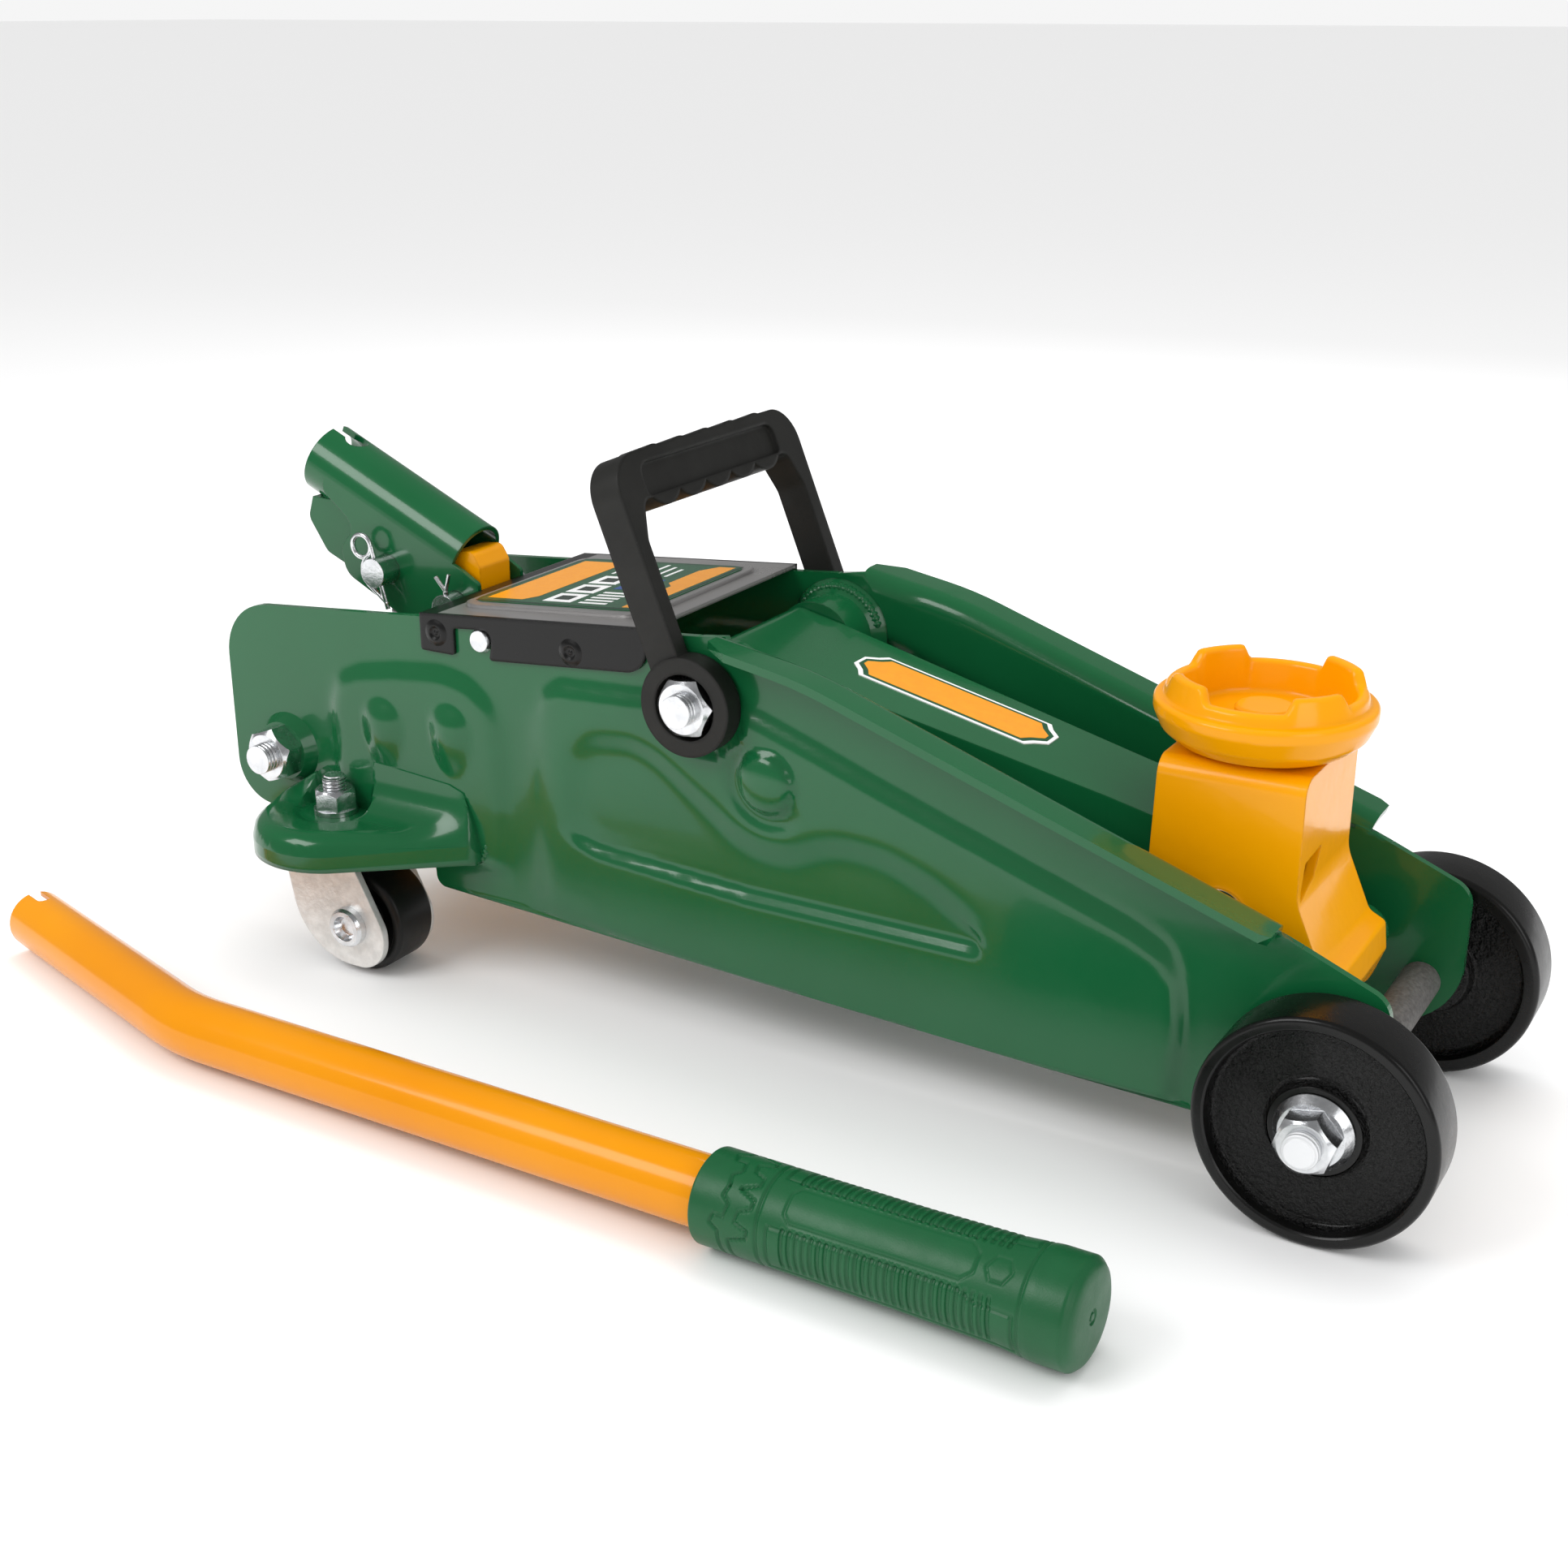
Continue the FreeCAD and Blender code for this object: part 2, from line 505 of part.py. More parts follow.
def top_cover():
    def top(x):
        return plate_top_z(x) + 0.3 + COVER_T

    sheet = xz_prism([(COVER_REAR_X, top(COVER_REAR_X), 0), (COVER_FRONT_X, top(COVER_FRONT_X), 0),
                      (COVER_FRONT_X, top(COVER_FRONT_X) - COVER_T, 0),
                      (COVER_REAR_X, top(COVER_REAR_X) - COVER_T, 0)], -COVER_OUT, COVER_OUT)
    rear_lip = xz_prism([(COVER_REAR_X, top(COVER_REAR_X), 0), (COVER_REAR_X + 1.4, top(COVER_REAR_X), 0),
                         (COVER_REAR_X + 1.4, top(COVER_REAR_X) - 5, 0),
                         (COVER_REAR_X, top(COVER_REAR_X) - 5, 0)], -PLATE_IN + 1, PLATE_IN - 1)
    flap = [
        (COVER_REAR_X, 112.0, 1.0),
        (COVER_REAR_X, top(COVER_REAR_X), 0),
        (COVER_FRONT_X, top(COVER_FRONT_X), 0),
        (COVER_FRONT_X, 117.5, 8.0),
        (-278.2, 112.4, 1.0),
        (-278.2, 113.6, 0),
        (-277.2, 118.0, 2.5),
        (-278.0, 122.3, 3.0),
        (-292.5, 121.0, 1.0),
        (-292.5, 112.0, 1.0),
    ]
    side = xz_prism(flap, -COVER_OUT, -COVER_OUT + COVER_T - 0.1)
    middle_x = (COVER_REAR_X + COVER_FRONT_X) / 2
    panel = xz_prism([(COVER_REAR_X + 8, top(COVER_REAR_X + 8) + 1.2, 0.6),
                      (COVER_FRONT_X - 8, top(COVER_FRONT_X - 8) + 1.2, 0.6),
                      (COVER_FRONT_X - 8, top(COVER_FRONT_X - 8) - 0.4, 0),
                      (COVER_REAR_X + 8, top(COVER_REAR_X + 8) - 0.4, 0)], -36.0, 36.0)
    corners = xy_prism([(middle_x - 35.8, -36.0, 8.0), (middle_x + 35.8, -36.0, 8.0),
                        (middle_x + 35.8, 36.0, 8.0), (middle_x - 35.8, 36.0, 8.0)], 100, 150)
    panel = panel.common(corners)
    return sheet.multiFuse([rear_lip, side, mirrored(side), panel]).removeSplitter()


def cover_label():
    def top(x):
        return plate_top_z(x) + 0.3 + COVER_T + 1.2

    rear = -295.5
    front = -229.5
    half = 31.5
    sheet = xz_prism([(rear - 0.5, top(rear - 0.5), 0), (rear - 0.5, top(rear - 0.5) + 0.3, 0),
                      (front + 0.5, top(front + 0.5) + 0.3, 0), (front + 0.5, top(front + 0.5), 0)],
                     -half - 0.5, half + 0.5)
    corners = xy_prism([(rear, -half, 5.0), (front, -half, 5.0), (front, half, 5.0), (rear, half, 5.0)], 100, 150)
    return sheet.common(corners)


# ---- power unit ----

def pump_block():
    body = box(BLOCK_REAR_X, BLOCK_FRONT_X, -BLOCK_HALF, BLOCK_HALF, BLOCK_BOTTOM_Z, BLOCK_TOP_Z)
    face = box(BLOCK_FRONT_X - 14, BLOCK_FRONT_X, -BLOCK_HALF, BLOCK_HALF, BLOCK_TOP_Z - 2, 104.0)
    lug = xz_prism([(-326.5, BLOCK_TOP_Z - 1, 0), (-326.5, 130.0, 3.0), (-322.0, 134.2, 3.0),
                    (-313.5, 135.0, 3.0), (-310.5, 130.0, 2.0), (-310.5, BLOCK_TOP_Z - 1, 0)],
                   -LUG_HALF, LUG_HALF)
    ears = [along_y(V(-322.0, 0, 76.0), 7.0, -PLATE_IN, PLATE_IN),
            along_y(V(-296.0, 0, 76.0), 7.0, -PLATE_IN, PLATE_IN)]
    hanger = [box(BLOCK_FRONT_X - 8, BLOCK_FRONT_X + 2, s - 4, s + 4, BLOCK_BOTTOM_Z + 1, BLOCK_BOTTOM_Z + 12)
              for s in (-SPRING_Y, SPRING_Y)]
    block = body.multiFuse([face, lug] + ears + hanger).removeSplitter()
    cuts = [
        cyl(V(-298.0, 0, RAM_Z), X_AXIS, CYL_BORE + 3.0, 20.0),
        cyl(V(PLUNGER_X, 0, BARREL_LOW_Z), Z_AXIS, 9.0, 60.0),
        cyl(V(BLOCK_REAR_X - 1, VALVE_Y, VALVE_Z), X_AXIS, 4.5 + CLEAR, 11.0),
        along_y(HINGE, 5.0, -LUG_HALF - 1, LUG_HALF + 1),
    ]
    return block.cut(Part.makeCompound(cuts))


def reservoir_tube():
    tube = cyl(V(BLOCK_FRONT_X, 0, RAM_Z), X_AXIS, TANK_R, TANK_FRONT_X - BLOCK_FRONT_X)
    tube = tube.cut(cyl(V(BLOCK_FRONT_X, 0, RAM_Z), X_AXIS, TANK_R - 2.0, TANK_FRONT_X - BLOCK_FRONT_X))
    return tube.cut(cyl(V(-264.0, 0, RAM_Z + 15), Z_AXIS, 4.0, 12.0))


def reservoir_cap():
    cap = cyl(V(TANK_FRONT_X, 0, RAM_Z), X_AXIS, TANK_R, CAP_FRONT_X - TANK_FRONT_X)
    return cap.cut(cyl(V(TANK_FRONT_X, 0, RAM_Z), X_AXIS, RAM_R + CLEAR, CAP_FRONT_X - TANK_FRONT_X))


def ram_cylinder():
    start = V(-298.0, 0, RAM_Z)
    length = TANK_FRONT_X - start.x
    return cyl(start, X_AXIS, CYL_BORE + 3.0, length).cut(cyl(start, X_AXIS, CYL_BORE, length))


def filler_plug():
    stem = cyl(V(-264.0, 0, RAM_Z + 17.5), Z_AXIS, 4.0, 6.0)
    cap = cyl(V(-264.0, 0, RAM_Z + TANK_R + 0.5), Z_AXIS, 6.0, 2.5)
    plug = stem.fuse(cap).removeSplitter()
    return plug.cut(cyl(V(BLOCK_FRONT_X, 0, RAM_Z), X_AXIS, TANK_R - 4.0, 50.0))


def pump_barrel():
    start = V(PLUNGER_X, 0, BARREL_LOW_Z)
    barrel = cyl(start, Z_AXIS, 9.0, BLOCK_TOP_Z - BARREL_LOW_Z)
    collar = hex_prism(V(PLUNGER_X, 0, BLOCK_TOP_Z), Z_AXIS, 18.0, BARREL_TOP_Z - BLOCK_TOP_Z)
    bore = cyl(start + V(0, 0, BARREL_FLOOR), Z_AXIS, 5.0 + CLEAR, 40.0)
    return barrel.fuse(collar).cut(bore).removeSplitter()


def hinge_pin():
    pin = along_y(HINGE, 5.0, -19.0, 17.4)
    head = along_y(HINGE, 7.0, 16.6, 19.0)
    hole = cyl(V(HINGE.x, -17.2, HINGE.z - 8), Z_AXIS, 1.0, 16.0)
    return pin.fuse(head).cut(hole).removeSplitter()


def hinge_cotter():
    """Split pin through the hinge pin's end, with its two legs spread above the pin."""
    stem = cyl(V(HINGE.x, -17.2, HINGE.z - 6.5), Z_AXIS, 0.95, 12.5)
    leg_a = cyl(V(HINGE.x, -17.2, HINGE.z + 6.0), V(-0.55, -0.15, 0.8), 0.7, 6.0)
    leg_b = cyl(V(HINGE.x, -17.2, HINGE.z + 6.0), V(0.2, 0.1, 1.0), 0.7, 6.0)
    eye = Part.makeTorus(1.6, 0.8, V(HINGE.x, -17.2, HINGE.z - 8.0), X_AXIS)
    return stem.multiFuse([leg_a, leg_b, eye]).removeSplitter()


def release_valve():
    """Needle valve spindle; the cross pin fits the slot in the pump handle's tip."""
    spindle = cyl(V(BLOCK_REAR_X - 23.0, VALVE_Y, VALVE_Z), X_AXIS, 4.5, 32.0)
    pin = cyl(V(BLOCK_REAR_X - 20.0, VALVE_Y - 8.0, VALVE_Z), Y_AXIS, 1.5, 16.0)
    return spindle.fuse(pin).removeSplitter()


# ---- ram ----

def ram_rod():
    rod = cyl(V(-293.0, 0, RAM_Z), X_AXIS, RAM_R, HEAD_FACE_X - 3.0 + 293.0)
    piston = cyl(V(-296.0, 0, RAM_Z), X_AXIS, CYL_BORE - CLEAR, 9.0)
    groove = cyl(V(-293.5, 0, RAM_Z), X_AXIS, CYL_BORE, 4.0).cut(cyl(V(-293.5, 0, RAM_Z), X_AXIS, 10.5, 4.0))
    return rod.fuse(piston).cut(groove).removeSplitter()


def ram_seal():
    start = V(-293.5, 0, RAM_Z)
    return cyl(start, X_AXIS, CYL_BORE - CLEAR, 4.0).cut(cyl(start, X_AXIS, 10.5, 4.0))


def ram_head():
    """Pusher block on the ram with a foot below for the return springs."""
    x0 = HEAD_FACE_X - HEAD_T
    head = box(x0, HEAD_FACE_X, -16.0, 16.0, RAM_Z - 12.0, RAM_Z + 10.0)
    foot = box(x0, x0 + 4.0, -15.0, 15.0, SPRING_Z - 5.0, RAM_Z - 11.0)
    head = head.fuse(foot).removeSplitter()
    return head.cut(cyl(V(x0 - 1, 0, RAM_Z), X_AXIS, RAM_R, HEAD_T - 3.0 + 1.0))


def return_springs():
    start_x = BLOCK_FRONT_X + 3.0
    length = HEAD_FACE_X - HEAD_T - 0.6 - start_x
    coils = []
    for y in (-SPRING_Y, SPRING_Y):
        coils.append(spring(V(start_x, y, SPRING_Z), X_AXIS, 3.6, 0.7, length, 15))
    return Part.makeCompound(coils)


# ---- lift arm ----

ARM_FRONT_HALF = 17.5


def arm_plan(offset):
    """Plan of the channel: parallel at the pivot, tapering to the front end."""
    rear = 24.0 - offset
    front = ARM_FRONT_HALF - offset
    corners = [(-240.0, -rear, 0), (-190.0, -rear, 0), (-80.0, -front, 0), (-20.0, -front, 0),
               (-20.0, front, 0), (-80.0, front, 0), (-190.0, rear, 0), (-240.0, rear, 0)]
    return xy_prism(corners, 40.0, 140.0)


def arm_top_z(x):
    return 78.0 - 0.224 * x


def lift_arm():
    outline = [
        (-207.5, arm_top_z(-207.5), 6.0),
        (-57.0, arm_top_z(-57.0), 5.0),
        (ARM_PIN.x + 9.5, ARM_PIN.z + 12.0, 9.0),
        (ARM_PIN.x + 9.5, ARM_PIN.z - 12.0, 9.0),
        (ARM_PIN.x - 10.0, ARM_PIN.z - 12.0, 10.0),
        (-150.0, 78.0, 40.0),
        (-192.0, 76.0, 20.0),
        (CRANK.x + 5.0, CRANK.z - 9.5, 6.0),
        (CRANK.x - 7.5, CRANK.z - 6.0, 6.5),
        (CRANK.x - 6.5, CRANK.z + 9.0, 8.0),
    ]
    solid = xz_prism(outline, -24.0, 24.0).common(arm_plan(0))
    inner = [
        (-260.0, 20.0, 0),
        (-260.0, arm_top_z(-207.5) - 3.1, 0),
        (-204.4, arm_top_z(-204.4) - 3.1, 0),
        (-57.0, arm_top_z(-57.0) - 3.1, 0),
        (-30.0, 84.0, 0),
        (-20.0, 20.0, 0),
    ]
    arm = solid.cut(xz_prism(inner, -24.0, 24.0).common(arm_plan(3.0)))
    end_bosses = [along_y(ARM_PIN, 9.0, -20.7, -14.5), along_y(ARM_PIN, 9.0, 14.5, 20.7)]
    arm = arm.multiFuse(end_bosses).removeSplitter()
    holes = [along_y(ARM_PIN, 6.5 + CLEAR, -30, 30), along_y(ARM_PIVOT, 8.0, -30, 30),
             along_y(CRANK, 5.0, -30, 30)]
    return arm.cut(Part.makeCompound(holes))


def arm_pivot_tube():
    return along_y(ARM_PIVOT, 8.0, -24.3, 24.3).cut(along_y(ARM_PIVOT, 5.0 + CLEAR, -30, 30))


def ram_roller():
    pin = along_y(CRANK, 5.0, -24.3, 24.3)
    return pin.fuse(along_y(CRANK, ROLLER_R, -20.8, 20.8)).removeSplitter()


def arm_label():
    """Badge on the arm's top face: long plate with stepped, chamfered ends."""
    x0, x1, half, step = -171.5, -105.5, 10.0, 3.2
    plan = [(x0, -half + 2 * step, 0), (x0 + step, -half + step, 0), (x0 + 1.6 * step, -half, 0),
            (x1 - 1.6 * step, -half, 0), (x1 - step, -half + step, 0), (x1, -half + 2 * step, 0),
            (x1, half - 2 * step, 0), (x1 - step, half - step, 0), (x1 - 1.6 * step, half, 0),
            (x0 + 1.6 * step, half, 0), (x0 + step, half - step, 0), (x0, half - 2 * step, 0)]
    sheet = xz_prism([(x0 - 1, arm_top_z(x0 - 1), 0), (x0 - 1, arm_top_z(x0 - 1) + 0.3, 0),
                      (x1 + 1, arm_top_z(x1 + 1) + 0.3, 0), (x1 + 1, arm_top_z(x1 + 1), 0)], -half, half)
    badge = sheet.common(xy_prism(plan, 80.0, 130.0))
    badge.translate(V(0, LABEL_Y, 0))
    return badge


# ---- saddle end ----

def saddle_bracket():
    """Pressed bracket: two cheeks, a top and a front wall that flares into the foot."""
    cheek = [
        (-63.0, BRACKET_TOP_Z, 0),
        (-21.0, BRACKET_TOP_Z, 0),
        (-21.0, 78.0, 14.0),
        (-13.0, 60.0, 4.0),
        (-8.0, 57.5, 2.0),
        (-7.0, 49.0, 2.0),
        (-11.5, 36.0, 6.0),
        (-27.0, 38.0, 10.0),
        (-50.0, 56.0, 10.0),
        (-64.5, 64.0, 6.0),
    ]
    block = xz_prism(cheek, -BRACKET_HALF, BRACKET_HALF)
    edge_r = 5.0
    crown = yz_prism([(-BRACKET_HALF, 20.0, 0), (-BRACKET_HALF, BRACKET_TOP_Z, edge_r),
                      (BRACKET_HALF, BRACKET_TOP_Z, edge_r), (BRACKET_HALF, 20.0, 0)], -70.0, 0.0)
    block = block.common(crown)
    hollow = xz_prism([
        (-75.0, BRACKET_TOP_Z - BRACKET_T, 0),
        (-24.0, BRACKET_TOP_Z - BRACKET_T, 0),
        (-24.0, 77.0, 14.0),
        (-15.5, 58.0, 4.0),
        (-13.0, 45.0, 0),
        (0.0, 45.0, 0),
        (0.0, 20.0, 0),
        (-75.0, 20.0, 0),
    ], -BRACKET_HALF + BRACKET_T, BRACKET_HALF - BRACKET_T)
    bracket = block.cut(hollow)
    slit = yz_prism([(-4.5, 88.6, 0), (-19.0, 88.0, 1.0), (-21.6, 77.4, 0), (-9.5, 80.6, 1.0)], -30.0, -5.0)
    holes = [along_y(ARM_PIN, 6.5, -30, 30), along_y(LINK_FRONT, 6.0, -30, 30),
             cyl(V(SADDLE_X, 0, 100.0), Z_AXIS, 6.0 + CLEAR, 20.0), slit]
    return bracket.cut(Part.makeCompound(holes))


def arm_pin():
    return along_y(ARM_PIN, 6.5, -27.0, 27.0)


def link_pin():
    pin = along_y(LINK_FRONT, 6.0, -36.0, 36.0)
    collar = along_y(LINK_FRONT, 8.5, -28.2, -24.1)
    return pin.multiFuse([collar, mirrored(collar)]).removeSplitter()


def pin_rings():
    """Retaining rings on the ends of the arm pin and the link pin."""
    ring_a = along_y(ARM_PIN, 8.0, -25.4, -24.1).cut(along_y(ARM_PIN, 6.5, -26, -24))
    ring_b = along_y(LINK_FRONT, 8.0, -34.8, -33.5).cut(along_y(LINK_FRONT, 6.0, -36, -33))
    return Part.makeCompound([ring_a, mirrored(ring_a), ring_b, mirrored(ring_b)])


def saddle():
    """Cast cup on a short neck: ledge, inner rim and four lugs."""
    low = BRACKET_TOP_Z + 0.4
    cup = revolve_z([(6.0, low), (19.0, low), (24.0, low + 1.2), (28.5, low + 4.6), (30.6, low + 9.1),
                     (SADDLE_RIM_R, SADDLE_RIM_Z - 1.5),
                     (SADDLE_RIM_R - 0.8, SADDLE_RIM_Z), (27.6, SADDLE_RIM_Z), (27.6, SADDLE_RIM_Z + 3.5),
                     (24.2, SADDLE_RIM_Z + 3.5), (23.2, SADDLE_FLOOR_Z), (6.0, SADDLE_FLOOR_Z)], SADDLE_X, 0)
    ring = revolve_z([(23.8, SADDLE_RIM_Z), (28.2, SADDLE_RIM_Z), (27.8, SADDLE_TOP_Z), (24.6, SADDLE_TOP_Z)],
                     SADDLE_X, 0)
    lugs = []
    for turn in (50, 140, 230, 320):
        lug = box(-9.0, 9.0, 20.0, 32.0, SADDLE_RIM_Z, SADDLE_TOP_Z + 1)
        lug.rotate(V(0, 0, 0), Z_AXIS, turn - 90)
        lug.translate(V(SADDLE_X, 0, 0))
        lugs.append(ring.common(lug))
    return cup.multiFuse(lugs).removeSplitter()


def saddle_pin():
    """Headed pin that holds the saddle and lets it turn."""
    floor = SADDLE_FLOOR_Z
    return revolve_z([(0, 102.5), (6.0, 102.5), (6.0, floor), (8.5, floor), (8.5, floor + 3.4),
                      (7.6, floor + 4.3), (0, floor + 4.3)], SADDLE_X, 0)


def saddle_ring():
    base = V(SADDLE_X, 0, 105.4)
    return cyl(base, Z_AXIS, 9.0, 1.4).cut(cyl(base, Z_AXIS, 6.0, 1.4))


def link_rod():
    """Flat bar with round ends between the side plate and the bracket's foot."""
    direction = LINK_FRONT - LINK_REAR
    length = direction.Length
    y0, y1 = -33.0, -28.5
    bar = Part.makeBox(length, y1 - y0, 13.0, V(0, y0, -6.5))
    ends = [cyl(V(0, y0, 0), Y_AXIS, 9.0, y1 - y0), cyl(V(length, y0, 0), Y_AXIS, 9.0, y1 - y0)]
    rod = bar.multiFuse(ends).removeSplitter()
    for x in (0, length):
        rod = rod.cut(cyl(V(x, y0 - 1, 0), Y_AXIS, 6.0 + CLEAR, 8.0))
    drop_deg = math.degrees(math.atan2(-direction.z, direction.x))
    rod.rotate(V(0, 0, 0), Y_AXIS, drop_deg)
    rod.translate(V(LINK_REAR.x, 0, LINK_REAR.z))
    return rod


# ---- pump plunger and handle socket ----

def pump_plunger():
    low_z = BARREL_LOW_Z + BARREL_FLOOR + STROKE_ROOM
    rod = cyl(V(PLUNGER_X, 0, low_z), Z_AXIS, 5.0, 121.0 - low_z)
    eye = box(PLUNGER_X - 9.0, PLUNGER_X + 9.0, -7.0, 7.0, CLEVIS.z - 8.5, CLEVIS.z + 7.5)
    long, wide = 6.3, 5.3
    slot = xz_prism([(PLUNGER_X - long, CLEVIS.z - wide, 5.2), (PLUNGER_X - long, CLEVIS.z + wide, 5.2),
                     (PLUNGER_X + long, CLEVIS.z + wide, 5.2), (PLUNGER_X + long, CLEVIS.z - wide, 5.2)],
                    -8.0, 8.0)
    upright = [e for e in eye.Edges if abs(e.tangentAt(e.FirstParameter).y) > 0.99]
    eye = eye.makeFillet(3.0, upright)
    return rod.fuse(eye).cut(slot).removeSplitter()


def plunger_spring():
    start_z = BARREL_TOP_Z + 1.1
    length = CLEVIS.z - 8.5 - 1.1 - start_z
    return spring(V(PLUNGER_X, 0, start_z), Z_AXIS, 6.6, 0.9, length, 7)


def socket_frame(shape):
    """Put a shape drawn along +X from the mouth into the tilted socket."""
    shape.rotate(V(0, 0, 0), Y_AXIS, SOCKET_TILT_DEG)
    shape.translate(SOCKET_MOUTH)
    return shape


def handle_socket():
    tube = socket_frame(Part.makeCylinder(SOCKET_OR, SOCKET_LEN, V(0, 0, 0), X_AXIS))
    cheek = [
        (-375.5, 151.0, 4.0),
        (-364.5, 142.0, 6.0),
        (-361.5, 138.0, 4.0),
        (-367.5, 131.0, 4.0),
        (-366.0, 122.0, 7.0),
        (-350.0, 114.0, 8.0),
        (-336.0, 106.0, 8.0),
        (-318.0, 103.5, 10.0),
        (-307.6, 112.0, 8.0),
        (-308.2, 125.6, 1.5),
        (-318.5, 131.5, 2.0),
        (-313.0, 139.0, 2.0),
        (-318.0, 143.0, 0),
        (-366.0, 164.0, 0),
    ]
    block = xz_prism(cheek, -SOCKET_OR, SOCKET_OR)
    keep_below = socket_frame(box(-20.0, SOCKET_LEN + 30, -SOCKET_OR, SOCKET_OR, -80.0, 0.5))
    block = block.common(keep_below)
    body = tube.fuse(block)
    bore = Part.makeCylinder(SOCKET_IR, SOCKET_LEN + 2, V(-1, 0, 0), X_AXIS)
    wide = SOCKET_IR + 0.3
    channel = box(SOCKET_ROUND_LEN, SOCKET_LEN + 20, -wide, wide, -80.0, 0)
    relief = Part.makeCylinder(wide, SOCKET_LEN, V(SOCKET_ROUND_LEN, 0, 0), X_AXIS)
    body = body.cut(socket_frame(bore)).cut(socket_frame(channel)).cut(socket_frame(relief))
    shell_cut = xz_prism([(-372.0, 90.0, 0), (-372.0, 147.0, 0), (-352.0, 136.0, 0), (-330.0, 90.0, 0)],
                         -SOCKET_IR, SOCKET_IR)
    body = body.cut(shell_cut)
    slot = socket_frame(box(-1.0, 7.5, -2.6, 2.6, 5.0, 14.0))
    keyhole = socket_frame(cyl(V(9.0, 0, 5.0), Z_AXIS, 4.2, 9.0))
    body = body.cut(slot).cut(keyhole)
    curl = [(-382.0, 146.5, 0), (-384.5, 139.0, 4.0), (-377.0, 127.5, 5.0), (-364.0, 122.0, 0),
            (-363.0, 124.4, 0), (-375.7, 129.4, 3.5), (-382.0, 139.3, 3.0), (-379.6, 145.4, 0)]
    heel = xz_prism(curl, -9.0, SOCKET_OR)
    rib = [(-382.0, 146.5, 0), (-384.5, 139.0, 4.0), (-377.0, 127.5, 5.0), (-362.5, 122.5, 0),
           (-360.0, 133.0, 0), (-370.0, 146.0, 0)]
    heel_ribs = [xz_prism(rib, -9.0, -6.6), xz_prism(rib, SOCKET_IR, SOCKET_OR)]
    body = body.multiFuse([heel] + heel_ribs).removeSplitter()
    body = body.cut(socket_frame(Part.makeCylinder(SOCKET_IR, SOCKET_LEN + 2, V(-1, 0, 0), X_AXIS)))
    holes = [along_y(HINGE, 5.0 + CLEAR, -20, 20), along_y(CLEVIS, 5.0, -20, 20)]
    return body.cut(Part.makeCompound(holes))


def clevis_pin():
    pin = along_y(CLEVIS, 5.0, -20.5, 15.0)
    head = along_y(CLEVIS, 7.0, SOCKET_OR + 0.1, 16.0)
    hole = cyl(V(CLEVIS.x - 2.3, -17.6, CLEVIS.z + 8.6), V(0.26, 0, -0.966), 0.95, 18.0)
    return pin.fuse(head).cut(hole).removeSplitter()


def clevis_clip():
    """Spring clip: straight leg through the pin, loop at its top, and a bowed leg round the pin."""
    y = -17.6
    x, z = CLEVIS.x, CLEVIS.z
    wire_r = 0.85
    straight = cyl(V(x - 2.3, y, z + 8.6), V(0.26, 0, -0.966), wire_r, 22.0)
    loop_at = V(x - 6.4, y, z + 8.2)
    section = Part.Face(Part.Wire(Part.makeCircle(wire_r, loop_at + V(3.9, 0, 0), Z_AXIS)))
    loop = section.revolve(loop_at, Y_AXIS, 360)
    bow_r = 6.4
    first = math.radians(118)
    last = math.radians(232)

    def on_bow(a):
        return V(x + bow_r * math.cos(a), y, z + bow_r * math.sin(a))

    start = on_bow(first)
    stop = on_bow(last)
    leave = V(-math.sin(last), 0, math.cos(last))
    path = Part.Wire([Part.Arc(start, on_bow((first + last) / 2), stop).toShape(),
                      Part.makeLine(stop, stop + leave * 9.5)])
    ring = Part.Wire(Part.makeCircle(wire_r, start, V(-math.sin(first), 0, math.cos(first))))
    bow = Part.Solid(path.makePipeShell([ring], True, False))
    return straight.fuse(loop).fuse(bow)


# ---- carrying handle ----

def carry_handle():
    """Bail drawn upright about the pivot, then leaned to the rear."""
    low = BAIL_TOP - BAIL_GRIP_H
    root = low + 3.4
    outline = [(-BAIL_OUT, 0, 0), (-BAIL_OUT, BAIL_TOP, 12.0), (BAIL_OUT, BAIL_TOP, 12.0), (BAIL_OUT, 0, 0),
               (BAIL_IN, 0, 0), (BAIL_IN, low - 8.0, 6.0), (BAIL_IN - 4.5, root, 4.0),
               (-BAIL_IN + 4.5, root, 4.0), (-BAIL_IN, low - 8.0, 6.0), (-BAIL_IN, 0, 0)]
    bail = yz_prism(outline, BAIL_REAR, BAIL_FRONT)
    width = BAIL_FRONT - BAIL_REAR
    lobes = [cyl(V(BAIL_REAR, -29.0 + 14.5 * k, low + 9.3), X_AXIS, 9.3, width) for k in range(5)]
    bail = bail.multiFuse(lobes).removeSplitter()
    half = 38.0
    for x0 in (BAIL_REAR - 0.01, BAIL_FRONT - 1.5):
        panel = yz_prism([(-half, BAIL_TOP - 14.0, 2.0), (-half, BAIL_TOP - 4.0, 4.0),
                          (half, BAIL_TOP - 4.0, 4.0), (half, BAIL_TOP - 14.0, 2.0)], x0, x0 + 1.51)
        bail = bail.cut(panel)
    eye = cyl(V(0, -EYE_OUT, 0), Y_AXIS, EYE_R, EYE_OUT - BAIL_IN)
    bail = bail.multiFuse([eye, mirrored(eye)])
    recess = cyl(V(0, -EYE_OUT - 1, 0), Y_AXIS, 10.3, EYE_OUT + 1 - BAIL_IN - 0.9)
    bore = cyl(V(0, -60, 0), Y_AXIS, 5.0 + CLEAR, 120)
    bail = bail.cut(recess).cut(mirrored(recess)).cut(bore).removeSplitter()
    bail.rotate(V(0, 0, 0), Y_AXIS, -BAIL_LEAN_DEG)
    bail.translate(ARM_PIVOT)
    return bail


# ---- loose pump handle ----

